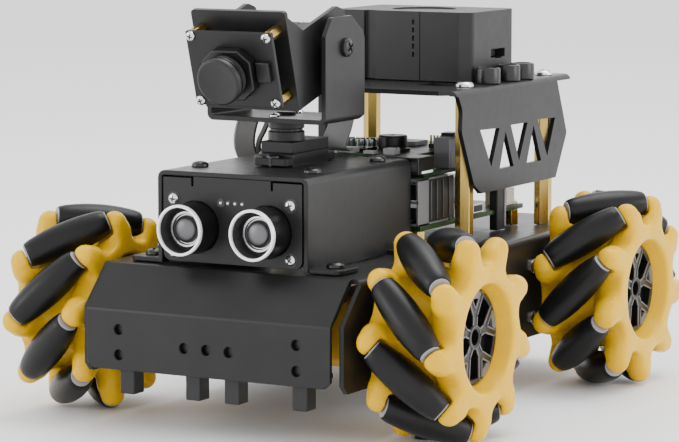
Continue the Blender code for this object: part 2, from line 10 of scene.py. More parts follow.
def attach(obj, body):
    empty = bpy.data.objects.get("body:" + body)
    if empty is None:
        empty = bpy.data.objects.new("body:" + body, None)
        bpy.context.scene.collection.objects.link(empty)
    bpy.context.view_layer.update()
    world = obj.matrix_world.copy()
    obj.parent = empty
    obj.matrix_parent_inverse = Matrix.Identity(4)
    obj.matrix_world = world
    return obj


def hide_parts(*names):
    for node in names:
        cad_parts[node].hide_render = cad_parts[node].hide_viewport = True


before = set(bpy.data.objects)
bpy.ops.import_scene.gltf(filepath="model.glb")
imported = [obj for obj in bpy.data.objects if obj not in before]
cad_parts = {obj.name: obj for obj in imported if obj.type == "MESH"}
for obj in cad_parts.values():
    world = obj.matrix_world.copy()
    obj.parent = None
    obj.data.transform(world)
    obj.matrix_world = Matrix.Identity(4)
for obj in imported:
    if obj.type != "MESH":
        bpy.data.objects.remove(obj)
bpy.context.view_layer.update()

# Mecanum wheel robot. Row frame: -Y is the way it drives, +X is right in a front view, +Z up.
# Dimensions below are millimetres; MM turns them into metres.
MM = 0.001
random.seed(7)

# ---- dimensions shared with the solid model ---------------------------------------------
WHEEL_R, WHEEL_X, HUB_HALF = 32.9, 64.5, 15.0
AXLE_Y = (-61.55, 59.05)
ROLLERS, ROLLER_AXIS_R, ROLLER_HALF = 9, 27.4, 14.1
ROLLER_PHASE = {"front_left": 18.5, "front_right": 17.5, "rear_left": 18.5, "rear_right": 3.7}
WHEELS = (("front_left", -1, 1, AXLE_Y[0]), ("front_right", 1, 1, AXLE_Y[0]), ("rear_left", -1, -1, AXLE_Y[1]), ("rear_right", 1, -1, AXLE_Y[1]))
SHEET = 1.5
CH_X, CH_TOP, CH_LOW, CH_FRONT, CH_REAR = 46.5, 51.2, 17.4, -84.25, 96.4
BUMP_X, BUMP_Y, BUMP_Z, BUMP_LOW = 43.5, -96.45, 38.3, 19.3
COVER_X, COVER_TOP, COVER_LOW, COVER_Y = 27.0, 80.8, 51.5, (-80.75, -13.25)
SONAR_X, SONAR_Z, SONAR_R, SONAR_FACE_Y = 13.0, 63.5, 8.0, -91.15
PAN_Y, TILT_Y, TILT_Z, CAMERA_DOWN = -46.9, -46.9, 118.6, 16.6
YOKE_X, YOKE_LOW, YOKE_TOP, YOKE_Y, BRACKET_X = 21.5, 95.1, 128.4, (-59.75, -34.45), 16.9
DECK_TOP, DECK_X, DECK_Y = 103.0, (-37.0, 41.0), (-12.65, 78.0)
POSTS = (("front_left", -31.5, 8.0), ("front_right", 35.5, 8.0), ("rear_left", -31.5, 68.0), ("rear_right", 35.5, 68.0))
CASE_X, CASE_Y, CASE_Z = (-20.5, 31.0), (20.4, 54.4), (103.3, 126.4)
C45 = math.sqrt(0.5)


# ---- materials --------------------------------------------------------------------------
def finish(name, dark, light, rough=(0.4, 0.5), metal=0.0, patch=45.0, grain=2600.0, relief=0.04, stretch=(1.0, 1.0, 1.0), **sockets):
    """A procedural finish: slow drift between two tones, uneven roughness and a fine grain."""
    mat = bpy.data.materials.new(name)
    mat.use_nodes = True
    tree = mat.node_tree
    shader = tree.nodes["Principled BSDF"]
    coord = tree.nodes.new("ShaderNodeTexCoord")
    mapping = tree.nodes.new("ShaderNodeMapping")
    mapping.inputs["Scale"].default_value = stretch
    tree.links.new(coord.outputs["Object"], mapping.inputs["Vector"])

    def noise(scale, detail, roughness=0.55):
        node = tree.nodes.new("ShaderNodeTexNoise")
        node.inputs["Scale"].default_value = scale
        node.inputs["Detail"].default_value = detail
        node.inputs["Roughness"].default_value = roughness
        tree.links.new(mapping.outputs["Vector"], node.inputs["Vector"])
        return node.outputs[0]

    drift = noise(patch, 3.0)
    ramp = tree.nodes.new("ShaderNodeValToRGB")
    ramp.color_ramp.elements[0].position = 0.3
    ramp.color_ramp.elements[0].color = (*dark, 1.0)
    ramp.color_ramp.elements[1].position = 0.7
    ramp.color_ramp.elements[1].color = (*light, 1.0)
    tree.links.new(drift, ramp.inputs["Fac"])
    tree.links.new(ramp.outputs["Color"], shader.inputs["Base Color"])
    fine = noise(grain, 2.0)
    spread = tree.nodes.new("ShaderNodeMapRange")
    spread.inputs["From Min"].default_value = 0.3
    spread.inputs["From Max"].default_value = 0.7
    spread.inputs["To Min"].default_value = rough[0]
    spread.inputs["To Max"].default_value = rough[1]
    tree.links.new(noise(patch * 6.0, 3.0), spread.inputs["Value"])
    tree.links.new(spread.outputs["Result"], shader.inputs["Roughness"])
    bump = tree.nodes.new("ShaderNodeBump")
    bump.inputs["Strength"].default_value = relief
    bump.inputs["Distance"].default_value = 0.0002
    tree.links.new(fine, bump.inputs["Height"])
    tree.links.new(bump.outputs["Normal"], shader.inputs["Normal"])
    shader.inputs["Metallic"].default_value = metal
    for socket, value in sockets.items():
        shader.inputs[socket.replace("_", " ")].default_value = value
    return mat


SHEET_MAT = finish("powder_coat_black", (0.008, 0.008, 0.0083), (0.012, 0.012, 0.0122), (0.30, 0.38), 0.0, grain=3800.0, relief=0.08, Specular_IOR_Level=0.27)
PLASTIC = finish("plastic_black", (0.004, 0.004, 0.0042), (0.007, 0.007, 0.0072), (0.30, 0.38), 0.0, grain=3000.0, relief=0.05, Specular_IOR_Level=0.36)
SERVO = finish("plastic_servo", (0.007, 0.007, 0.0072), (0.011, 0.011, 0.0112), (0.38, 0.46), 0.0, grain=3000.0, relief=0.06, Specular_IOR_Level=0.34)
CASE = finish("plastic_case", (0.010, 0.010, 0.0102), (0.015, 0.015, 0.0152), (0.40, 0.48), 0.0, grain=4200.0, relief=0.14, Specular_IOR_Level=0.34)
RUBBER = finish("rubber_roller", (0.004, 0.004, 0.0042), (0.007, 0.007, 0.0072), (0.34, 0.42), 0.0, grain=2800.0, relief=0.05, Specular_IOR_Level=0.22)
YELLOW = finish("plastic_yellow", (0.68, 0.385, 0.0001), (0.76, 0.44, 0.0003), (0.22, 0.30), 0.0, grain=2200.0, relief=0.02, Specular_IOR_Level=0.16)
GEARBOX = finish("plastic_gearbox", (0.62, 0.335, 0.0006), (0.70, 0.385, 0.001), (0.40, 0.5), 0.0, grain=2400.0, relief=0.05)
CAP = finish("plastic_cap_grey", (0.24, 0.24, 0.25), (0.30, 0.30, 0.31), (0.34, 0.44), 0.0, grain=2600.0, relief=0.03)
LINE = finish("plastic_hub_grey", (0.085, 0.085, 0.09), (0.12, 0.12, 0.126), (0.32, 0.40), 0.0, grain=2600.0, relief=0.03)
BRASS = finish("brass_turned", (0.42, 0.29, 0.075), (0.50, 0.35, 0.10), (0.24, 0.32), 1.0, grain=1400.0, relief=0.03, stretch=(1.0, 1.0, 0.12))
STEEL = finish("steel_bright", (0.60, 0.60, 0.61), (0.72, 0.72, 0.73), (0.18, 0.26), 1.0, grain=1800.0, relief=0.03)
RING = finish("ring_aluminium", (0.95, 0.95, 0.95), (0.98, 0.98, 0.98), (0.22, 0.30), 0.3, grain=1800.0, relief=0.02)
DIM_METAL = finish("metal_dull", (0.10, 0.10, 0.104), (0.16, 0.16, 0.165), (0.34, 0.44), 0.9, grain=1600.0, relief=0.06)
SHIELD = finish("metal_shield", (0.15, 0.15, 0.158), (0.20, 0.20, 0.21), (0.36, 0.46), 0.6, grain=1400.0, relief=0.04)
# Dark matte finish: the lining in the sonar tubes, and painted shade in screw recesses, servo slots, the holes round
# screws and pins, and socket and connector openings.
MESH_AND_SHADE_DARK = finish("mesh_dark_and_painted_shade", (0.010, 0.010, 0.011), (0.055, 0.055, 0.058), (0.5, 0.6), 0.2, patch=1500.0, grain=1900.0, relief=0.5)
BLACK_SCREW = finish("screw_black", (0.006, 0.006, 0.0062), (0.010, 0.010, 0.0102), (0.24, 0.32), 0.0, grain=1800.0, relief=0.04, Specular_IOR_Level=0.4)
BOARD = finish("solder_mask", (0.006, 0.026, 0.005), (0.012, 0.044, 0.008), (0.30, 0.40), 0.0, patch=420.0, grain=1400.0, relief=0.05, Specular_IOR_Level=0.35)
GLASS = finish("lens_glass", (0.004, 0.004, 0.006), (0.008, 0.007, 0.012), (0.04, 0.08), 0.0, grain=500.0, relief=0.0, Coat_Weight=1.0, Coat_Roughness=0.03)
IVORY = finish("plastic_ivory", (0.72, 0.66, 0.54), (0.82, 0.77, 0.66), (0.4, 0.5), 0.0, grain=1400.0, relief=0.03)
WHITE = finish("plastic_white", (0.80, 0.80, 0.80), (0.88, 0.88, 0.88), (0.4, 0.5), 0.0, grain=1400.0, relief=0.03)
LEAD_DARK = finish("lead_dark", (0.008, 0.0076, 0.005), (0.013, 0.012, 0.008), (0.42, 0.52), 0.0, grain=1600.0, relief=0.06)
LEAD_GREY = finish("lead_grey", (0.13, 0.13, 0.13), (0.17, 0.17, 0.17), (0.42, 0.52), 0.0, grain=1600.0, relief=0.06)
FLOOR = finish("floor_pale", (0.86, 0.86, 0.86), (0.89, 0.89, 0.89), (0.55, 0.65), 0.0, patch=3.0, grain=120.0, relief=0.01)


# ---- mesh helpers -----------------------------------------------------------------------
def ngon(count, radius, phase=0.0):
    return [(radius * math.cos(phase + 2 * math.pi * i / count), radius * math.sin(phase + 2 * math.pi * i / count)) for i in range(count)]


def spot(axis, a, b, h):
    return {"x": Vector((h, a, b)), "y": Vector((a, h, b)), "z": Vector((a, b, h))}[axis] * MM


def prism(bm, axis, outline, low, high):
    rings = [[bm.verts.new(spot(axis, a, b, h)) for a, b in outline] for h in (low, high)]
    count = len(outline)
    faces = [bm.faces.new(rings[0]), bm.faces.new(rings[1])]
    for i in range(count):
        j = (i + 1) % count
        faces.append(bm.faces.new((rings[0][i], rings[0][j], rings[1][j], rings[1][i])))
    bmesh.ops.recalc_face_normals(bm, faces=faces)
    return faces


def box(bm, x, y, z):
    return prism(bm, "z", [(x[0], y[0]), (x[1], y[0]), (x[1], y[1]), (x[0], y[1])], z[0], z[1])


def rod(bm, axis, centre, radius, low, high, count=32):
    return prism(bm, axis, [(centre[0] + a, centre[1] + b) for a, b in ngon(count, radius)], low, high)


def lathe(bm, origin, axis, profile, count=40, index=0):
    """Turns a profile of (along, radius) points round an axis. It is closed if its ends lie on the axis, or if it is a loop."""
    axis = Vector(axis).normalized()
    side = axis.orthogonal().normalized()
    other = axis.cross(side)
    origin = Vector(origin)
    on_axis = profile[0][1] < 1e-6 and profile[-1][1] < 1e-6
    rings = []
    for along, radius in profile:
        base = origin + axis * along
        if radius < 1e-6:
            rings.append([bm.verts.new(base * MM)])
        else:
            rings.append([bm.verts.new((base + side * a + other * b) * MM) for a, b in ngon(count, radius)])
    faces = []
    pairs = list(zip(rings, rings[1:])) + ([] if on_axis else [(rings[-1], rings[0])])
    for lower, upper in pairs:
        for i in range(count):
            j = (i + 1) % count
            corners = [lower[i % len(lower)], lower[j % len(lower)], upper[j % len(upper)], upper[i % len(upper)]]
            corners = [v for k, v in enumerate(corners) if v not in corners[:k]]
            if len(corners) > 2:
                faces.append(bm.faces.new(corners))
    for f in faces:
        f.material_index = index
    bmesh.ops.recalc_face_normals(bm, faces=faces)
    return faces


def rounded(points, radii, steps=5):
    out = []
    count = len(points)
    for i, (point, radius) in enumerate(zip(points, radii)):
        here = Vector(point)
        if not radius:
            out.append(tuple(here))
            continue
        before = (Vector(points[i - 1]) - here).normalized()
        after = (Vector(points[(i + 1) % count]) - here).normalized()
        half = before.angle(after) / 2
        reach = radius / math.tan(half)
        centre = here + (before + after).normalized() * (radius / math.sin(half))
        first, last = here + before * reach - centre, here + after * reach - centre
        turn = first.angle_signed(last)
        for k in range(steps + 1):
            a = -turn * k / steps
            arm = Vector((first.x * math.cos(a) - first.y * math.sin(a), first.x * math.sin(a) + first.y * math.cos(a)))
            out.append(tuple(centre + arm))
    return out


def mesh_of(bm, name, mats, sharp=32.0):
    mesh = bpy.data.meshes.new(name)
    bm.to_mesh(mesh)
    bm.free()
    for m in mats:
        mesh.materials.append(m)
    mesh.shade_smooth()
    mesh.set_sharp_from_angle(angle=math.radians(sharp))
    return mesh


def put(name, mesh, body, world=None, stands_for=()):
    obj = bpy.data.objects.new(name, mesh)
    bpy.context.scene.collection.objects.link(obj)
    if world is not None:
        obj.matrix_world = world
    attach(obj, body)
    if stands_for:
        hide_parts(*stands_for)
    return obj


def evaluated(obj):
    bpy.context.view_layer.update()
    graph = bpy.context.evaluated_depsgraph_get()
    mesh = bpy.data.meshes.new_from_object(obj.evaluated_get(graph))
    return mesh


def bevelled(mesh, width, segments=2, angle=38.0, sharp=32.0, mats=None):
    """The mesh with its hard edges rounded by `width` millimetres."""
    mesh.shade_smooth()
    mesh.set_sharp_from_angle(angle=math.radians(max(sharp, 50.0) if width else sharp))
    obj = bpy.data.objects.new("work", mesh)
    bpy.context.scene.collection.objects.link(obj)
    if width:
        mod = obj.modifiers.new("edge", "BEVEL")
        mod.width = width * MM
        mod.segments = segments
        mod.limit_method = "ANGLE"
        mod.angle_limit = math.radians(angle)
        mod.use_clamp_overlap = True
        mod.miter_outer = "MITER_ARC"
        mod.harden_normals = False
        even = obj.modifiers.new("even", "WEIGHTED_NORMAL")
        even.mode, even.weight, even.keep_sharp = "FACE_AREA", 90, True
    done = evaluated(obj)
    bpy.data.objects.remove(obj, do_unlink=True)
    done.materials.clear()
    for m in mats or []:
        done.materials.append(m)
    return done


def carved(adds, cuts, mats, width=0.25, segments=2, turn=None, at=None, sharp=32.0, angle=38.0):
    """Joins shapes, cuts others out, rounds the edges, and turns the result about `at`."""
    def raw(fill):
        bm = bmesh.new()
        fill(bm)
        mesh = bpy.data.meshes.new("raw")
        bm.to_mesh(mesh)
        bm.free()
        obj = bpy.data.objects.new("raw", mesh)
        bpy.context.scene.collection.objects.link(obj)
        return obj

    base = raw(adds[0])
    tools = []
    for kind, fills in (("UNION", adds[1:]), ("DIFFERENCE", cuts)):
        for fill in fills:
            tool = raw(fill)
            tools.append(tool)
            mod = base.modifiers.new(kind, "BOOLEAN")
            mod.operation, mod.object, mod.solver = kind, tool, "EXACT"
    mesh = evaluated(base)
    for obj in [base, *tools]:
        bpy.data.objects.remove(obj, do_unlink=True)
    bm = bmesh.new()
    bm.from_mesh(mesh)
    bmesh.ops.remove_doubles(bm, verts=bm.verts, dist=2e-6)
    bmesh.ops.dissolve_limit(bm, angle_limit=math.radians(0.5), verts=bm.verts, edges=bm.edges)
    bm.to_mesh(mesh)
    bm.free()
    done = bevelled(mesh, width, segments, angle, sharp, mats)
    if turn is not None:
        centre = Vector(at) * MM
        done.transform(Matrix.Translation(centre) @ turn @ Matrix.Translation(-centre))
    return done


def pile(fills, mats, width=0.0, segments=2, turn=None, at=None, sharp=32.0):
    """Several separate closed shapes in one mesh."""
    bm = bmesh.new()
    for fill in fills:
        fill(bm)
    mesh = bpy.data.meshes.new("pile")
    bm.to_mesh(mesh)
    bm.free()
    if width:
        mesh = bevelled(mesh, width, segments, 38.0, sharp, mats)
    else:
        for m in mats:
            mesh.materials.append(m)
        mesh.shade_smooth()
        mesh.set_sharp_from_angle(angle=math.radians(sharp))
    if turn is not None:
        centre = Vector(at) * MM
        mesh.transform(Matrix.Translation(centre) @ turn @ Matrix.Translation(-centre))
    return mesh


def facing(direction, roll=0.0):
    """Rotation that takes +Z to a direction."""
    return Vector(direction).to_track_quat("Z", "Y").to_matrix().to_4x4() @ Matrix.Rotation(roll, 4, "Z")


def copies(mesh, places, mats):
    """One mesh with a copy of `mesh` at each (point, direction, roll), in millimetres."""
    bm = bmesh.new()
    for point, direction, roll in places:
        part = mesh.copy()
        part.transform(Matrix.Translation(Vector(point) * MM) @ facing(direction, roll))
        bm.from_mesh(part)
        bpy.data.meshes.remove(part)
    return mesh_of(bm, "copies", mats)


def pan_screw(radius, height, slot=True):
    """Pan head with a cross recess, its flat underside at 0 and its top along +Z."""
    def head(bm):
        r, h = radius, height
        lathe(bm, (0, 0, 0), (0, 0, 1), [(0, 0), (0, r * 0.94), (h * 0.12, r), (h * 0.5, r * 0.97), (h * 0.78, r * 0.82), (h * 0.94, r * 0.55), (h, r * 0.25), (h, 0)], 28)

    def arm(turned):
        def fill(bm):
            a, b = radius * 0.6, radius * 0.15
            x, y = ((-a, a), (-b, b)) if turned else ((-b, b), (-a, a))
            box(bm, x, y, (height * 0.45, height * 2.0))
        return fill

    return shade_recess(carved([head], [arm(0), arm(1)] if slot else [], [STEEL], width=0.0, sharp=28.0), radius * 0.62, height)


def shade_recess(mesh, reach, height):
    """Gives the floor and walls of a screw's recess the second material, a dark painted shade."""
    mesh.materials.append(MESH_AND_SHADE_DARK)
    for f in mesh.polygons:
        c = f.center / MM
        flat = abs(f.normal.z) < 0.2
        if math.hypot(c.x, c.y) < reach and c.z > height * 0.3 and (flat or c.z < height * 0.6):
            f.material_index = 1
    return mesh


def socket_screw(radius, height):
    def head(bm):
        r, h = radius, height
        lathe(bm, (0, 0, 0), (0, 0, 1), [(0, 0), (0, r * 0.92), (h * 0.15, r), (h * 0.55, r * 0.96), (h * 0.85, r * 0.78), (h, r * 0.5), (h, 0)], 28)

    def hole(bm):
        prism(bm, "z", ngon(6, radius * 0.42), height * 0.4, height * 2.0)

    return shade_recess(carved([head], [hole], [BLACK_SCREW], width=0.0, sharp=28.0), radius * 0.5, height)


SCREW = pan_screw(1.0, 0.62)
SOCKET = socket_screw(1.0, 0.62)


def screws(places, mat, source=None, size=1.0):
    scaled = (source or SCREW).copy()
    scaled.transform(Matrix.Scale(size, 4))
    return copies(scaled, places, [mat, MESH_AND_SHADE_DARK])


# ---- wheels -----------------------------------------------------------------------------
def roller_radius(target):
    """Radius of a roller at a distance from its middle, so that it fills the wheel's circle."""
    u = target
    for _ in range(30):
        rho = math.sqrt(ROLLER_AXIS_R**2 + u * u / 2)
        u = target / (1 + (WHEEL_R - rho) / (2 * rho))
    rho = math.sqrt(ROLLER_AXIS_R**2 + u * u / 2)
    return (WHEEL_R - rho) * math.sqrt(1 - (u / (2 * rho)) ** 2)


def wheel_axes(side, hand, angle):
    out = Vector((side, 0, 0))
    radial = Vector((0, -math.cos(angle), math.sin(angle)))
    tangent = Vector((0, math.sin(angle), math.cos(angle)))
    return out, radial, tangent, (out - hand * tangent) * C45


def surface(field, origin, step):
    """Points and quads of the surface where the field is zero; it is negative inside."""
    inside = field < 0
    n = np.array(field.shape) - 1

    def at(corner, array):
        i, j, k = corner
        return array[i : i + n[0], j : j + n[1], k : k + n[2]]

    corners = [(i, j, k) for i in (0, 1) for j in (0, 1) for k in (0, 1)]
    count = sum(at(c, inside).astype(np.int8) for c in corners)
    active = (count > 0) & (count < 8)
    ids = np.full(n, -1, np.int64)
    ids[active] = np.arange(active.sum())
    total = np.zeros((int(active.sum()), 3))
    number = np.zeros(int(active.sum()))
    for a in corners:
        for axis in range(3):
            if a[axis]:
                continue
            b = list(a)
            b[axis] = 1
            fa, fb = at(a, field)[active], at(b, field)[active]
            crosses = (fa < 0) != (fb < 0)
            t = np.where(crosses, fa / np.where(crosses, fa - fb, 1.0), 0.0)
            point = np.array(a, float) + t[:, None] * (np.array(b, float) - np.array(a, float))
            total += point * crosses[:, None]
            number += crosses
    points = np.array(origin) + (np.argwhere(active) + total / number[:, None]) * step
    quads = []
    for axis, (u, v) in enumerate(((1, 2), (2, 0), (0, 1))):
        low = [slice(0, None)] * 3
        high = [slice(0, None)] * 3
        low[axis], high[axis] = slice(0, -1), slice(1, None)
        first, second = inside[tuple(low)], inside[tuple(high)]
        nodes = np.argwhere(first != second)
        nodes = nodes[(nodes[:, u] > 0) & (nodes[:, v] > 0) & (nodes[:, u] < n[u]) & (nodes[:, v] < n[v])]
        eu, ev = np.eye(3, dtype=int)[u], np.eye(3, dtype=int)[v]
        c = [ids[tuple((nodes - shift).T)] for shift in (eu + ev, ev, 0 * ev, eu)]
        quad = np.stack(c, 1)
        outward = first[tuple(nodes.T)]
        quad[~outward] = quad[~outward][:, ::-1]
        quads.append(quad)
    return points, np.concatenate(quads)


def smooth_min(a, b, k):
    h = np.clip(0.5 + 0.5 * (b - a) / k, 0.0, 1.0)
    return b * (1 - h) + a * h - k * h * (1 - h)


def smooth_max(a, b, k):
    return -smooth_min(-a, -b, k)


def wheel_shell(step):
    """The yellow wheel in its own frame: +X outward, roller 0 straight ahead, hand +1, millimetres."""
    xs = np.arange(-16.4, 16.4 + step, step)
    ys = np.arange(-33.8, 33.8 + step, step)
    x, y, z = np.meshgrid(xs, ys, ys, indexing="ij")
    r = np.sqrt(y * y + z * z)

    def section(cx, cr, hx, hr, rr):
        qx, qr = np.abs(x - cx) - hx + rr, np.abs(r - cr) - hr + rr
        return np.sqrt(np.maximum(qx, 0) ** 2 + np.maximum(qr, 0) ** 2) + np.minimum(np.maximum(qx, qr), 0) - rr

    f = section(0.0, 17.3, 13.0, 3.4, 0.6)
    for end in (-1, 1):
        f = smooth_min(f, section(end * 10.8, 17.9, 4.2, 4.1, 1.1), 1.6)
    fingers = None
    for k in range(ROLLERS):
        angle = math.radians(360.0 / ROLLERS * k)
        out, radial, tangent, axis = wheel_axes(1, 1, angle)
        for end in (-1, 1):
            along = axis * end
            seat = radial * ROLLER_AXIS_R + along * (ROLLER_HALF + 0.3)
            spoke = Vector((0, seat.y, seat.z)).normalized()
            sweep = Vector((0, along.y, along.z))
            tip = seat + along * 2.5
            tip_r = Vector((0, tip.y, tip.z)).normalized() * 28.1
            tip = Vector((end * 11.3, tip_r.y, tip_r.z))
            knee = (spoke * 24.0 + sweep * 3.6) + Vector((end * 11.2, 0, 0))
            root = (spoke * 17.6 + sweep * 4.2) + Vector((end * 10.2, 0, 0))
            for a, b, ra, rb in ((tip, knee, 3.95, 4.5), (knee, root, 4.5, 5.3)):
                d = b - a
                t = np.clip(((x - a.x) * d.x + (y - a.y) * d.y + (z - a.z) * d.z) / d.length_squared, 0, 1)
                g = np.sqrt((x - a.x - t * d.x) ** 2 + (y - a.y - t * d.y) ** 2 + (z - a.z - t * d.z) ** 2) - (ra + (rb - ra) * t)
                fingers = g if fingers is None else smooth_min(fingers, g, 1.2)
    f = smooth_min(f, fingers, 3.2)
    table_s = np.linspace(-14.4, 14.4, 41)
    table_r = np.array([roller_radius(abs(s)) for s in table_s])
    for k in range(ROLLERS):
        angle = math.radians(360.0 / ROLLERS * k)
        out, radial, tangent, axis = wheel_axes(1, 1, angle)
        mid = radial * ROLLER_AXIS_R
        px, py, pz = x - mid.x, y - mid.y, z - mid.z
        s = px * axis.x + py * axis.y + pz * axis.z
        q = np.sqrt(np.maximum(px * px + py * py + pz * pz - s * s, 0))
        room = np.maximum(q - np.interp(s, table_s, table_r) - 0.75, np.abs(s) - (ROLLER_HALF + 0.32))
        f = smooth_max(f, -room, 0.45)
    bore = np.where(x > 9.0, 14.9 + (x - 9.0) * 0.34, np.where(x < -9.0, 16.4 + (-9.0 - x) * 0.2, 14.9))
    f = smooth_max(f, bore - r, 0.5)
    f = smooth_max(f, np.abs(x) - HUB_HALF, 0.7)
    return surface(f, (xs[0], ys[0], ys[0]), step)


def wheel_mesh():
    points, quads = wheel_shell(0.62)
    mesh = bpy.data.meshes.new("wheel_shell")
    mesh.from_pydata((points * MM).tolist(), [], quads.tolist())
    obj = bpy.data.objects.new("work", mesh)
    bpy.context.scene.collection.objects.link(obj)
    mod = obj.modifiers.new("soften", "SMOOTH")
    mod.factor, mod.iterations = 0.5, 3
    done = evaluated(obj)
    bpy.data.objects.remove(obj, do_unlink=True)
    done.materials.clear()
    done.materials.append(YELLOW)
    done.shade_smooth()
    return done


def hub_mesh():
    """The black centre: a dished disc with a raised rim and five forked spokes."""
    def disc(bm):
        lathe(bm, (0, 0, 0), (1, 0, 0), [(-8.8, 3.0), (-8.8, 14.6), (11.3, 14.6), (11.6, 14.3), (11.6, 13.3), (11.3, 13.0), (8.8, 12.9), (8.8, 4.1), (11.4, 3.9), (11.7, 3.6), (11.7, 2.6), (11.5, 2.4), (8.0, 2.3), (8.0, 3.0)], 60)

    def plug(bm):
        rod(bm, "x", (0, 0), 2.8, -8.0, 7.6, 24)

    def spokes(bm):
        outline = [(3.4, 1.15), (6.6, 1.2), (12.9, 5.2), (13.2, 3.2), (8.6, 0.0), (13.2, -3.2), (12.9, -5.2), (6.6, -1.2), (3.4, -1.15)]
        for k in range(5):
            t = math.radians(90 + 72 * k)
            c, s = math.cos(t), math.sin(t)
            prism(bm, "x", [(a * c - b * s, a * s + b * c) for a, b in outline], 8.0, 11.45)

    return pile([disc, plug, spokes], [PLASTIC], width=0.0)


def hub_lines_mesh():
    """Raised light lines along the spokes' edges, and the light rim pieces between their forks."""
    def line(bm, points, width, low, high):
        for a, b in zip(points, points[1:]):
            a, b = Vector(a), Vector(b)
            d = (b - a).normalized()
            s = Vector((-d.y, d.x)) * width / 2
            e = d * width * 0.35
            prism(bm, "x", [tuple(a - s - e), tuple(b - s + e), tuple(b + s + e), tuple(a + s - e)], low, high)

    def fill(bm):
        for k in range(5):
            t = math.radians(90 + 72 * k)
            c, s = math.cos(t), math.sin(t)
            turn = lambda pts: [(a * c - b * s, a * s + b * c) for a, b in pts]
            for sign in (-1, 1):
                line(bm, turn([(3.3, sign * 1.15), (6.6, sign * 1.2), (12.6, sign * 5.0), (13.5, sign * 4.6)]), 0.5, 11.3, 11.62)
            line(bm, turn([(13.1, 3.2), (8.6, 0.0), (13.1, -3.2)]), 0.5, 11.3, 11.62)
            prism(bm, "x", turn([(11.7, 1.5), (13.2, 2.9), (13.9, 2.9), (14.2, 0.0), (13.9, -2.9), (13.2, -2.9), (11.7, -1.5), (12.0, 0.0)]), 10.0, 11.68)
        ring = []
        for i in range(28):
            t = 2 * math.pi * i / 28
            ring.append((3.5 * math.cos(t), 3.5 * math.sin(t)))
        line(bm, ring + ring[:2], 0.42, 11.5, 11.85)

    return pile([fill], [LINE], width=0.0)


def roller_mesh():
    def fill(bm):
        half = ROLLER_HALF - 0.32
        body = [(-half, 0.0), (-half, roller_radius(half) - 0.75), (-half + 0.12, roller_radius(half) - 0.3), (-half + 0.45, roller_radius(half) - 0.04)]
        for i in range(1, 16):
            s = -half + 0.45 + (2 * half - 0.9) * i / 16
            body.append((s, roller_radius(abs(s))))
        body += [(half - 0.45, roller_radius(half) - 0.04), (half - 0.12, roller_radius(half) - 0.3), (half, roller_radius(half) - 0.75), (half, 0.0)]
        lathe(bm, (0, 0, 0), (0, 0, 1), body, 36, 0)
        r = roller_radius(ROLLER_HALF)
        for end in (-1, 1):
            rows = [(half - 0.2, 0.0), (half - 0.2, r - 0.5), (ROLLER_HALF - 0.1, r - 0.5), (ROLLER_HALF, r - 0.65), (ROLLER_HALF, 0.0)]
            lathe(bm, (0, 0, 0), (0, 0, end), rows, 32, 1)

    bm = bmesh.new()
    fill(bm)
    return mesh_of(bm, "roller", [RUBBER, CAP])


def turned_wheel(mesh, side, hand, phase):
    """A copy of a wheel mesh mirrored and turned for one of the four places."""
    done = mesh.copy()
    done.transform(Matrix.Rotation(-math.radians(phase), 4, "X") @ Matrix.Diagonal((side, 1, hand, 1)))
    if side * hand < 0:
        done.flip_normals()
    return done


SHELL, HUB, HUB_LINES, ROLLER = wheel_mesh(), hub_mesh(), hub_lines_mesh(), roller_mesh()
for tag, side, hand, axle_y in WHEELS:
    centre = Vector((side * WHEEL_X, axle_y, WHEEL_R))
    body = f"wheel_{tag}"
    phase = ROLLER_PHASE[tag]
    place = Matrix.Translation(centre * MM)
    put(f"wheel_shell_{tag}", turned_wheel(SHELL, side, hand, phase), body, place, (f"wheel_{tag}",))
    hub_phase = {"front_right": 2.0, "rear_right": 40.0}.get(tag, 20.0)
    sunk = Matrix.Translation((centre - Vector((side * 1.5, 0, 0))) * MM)
    put(f"wheel_centre_{tag}", turned_wheel(HUB, side, hand, hub_phase), body, sunk)
    put(f"wheel_lines_{tag}", turned_wheel(HUB_LINES, side, hand, hub_phase), body, sunk)
    for k in range(ROLLERS):
        out, radial, tangent, axis = wheel_axes(side, hand, math.radians(phase + 360.0 / ROLLERS * k))
        node = f"roller_{tag}_{k + 1}"
        sleeve = ROLLER.copy()
        sleeve.transform(facing(axis))
        put(f"roller_sleeve_{tag}_{k + 1}", sleeve, node, Matrix.Translation((centre + radial * ROLLER_AXIS_R) * MM), (node,))


# ---- chassis ----------------------------------------------------------------------------
def arch(x, top, low, t, r):
    return rounded(
        [(-x, low), (-x, top), (x, top), (x, low), (x - t, low), (x - t, top - t), (-x + t, top - t), (-x + t, low)],
        [0, r, r, 0, 0, max(r - t, 0.3), max(r - t, 0.3), 0],
    )


def cut_rod(axis, centre, radius, low, high, count=28):
    return lambda bm: rod(bm, axis, centre, radius, low, high, count)


def cut_prism(axis, outline, low, high):
    return lambda bm: prism(bm, axis, outline, low, high)


def cut_box(x, y, z):
    return lambda bm: box(bm, x, y, z)


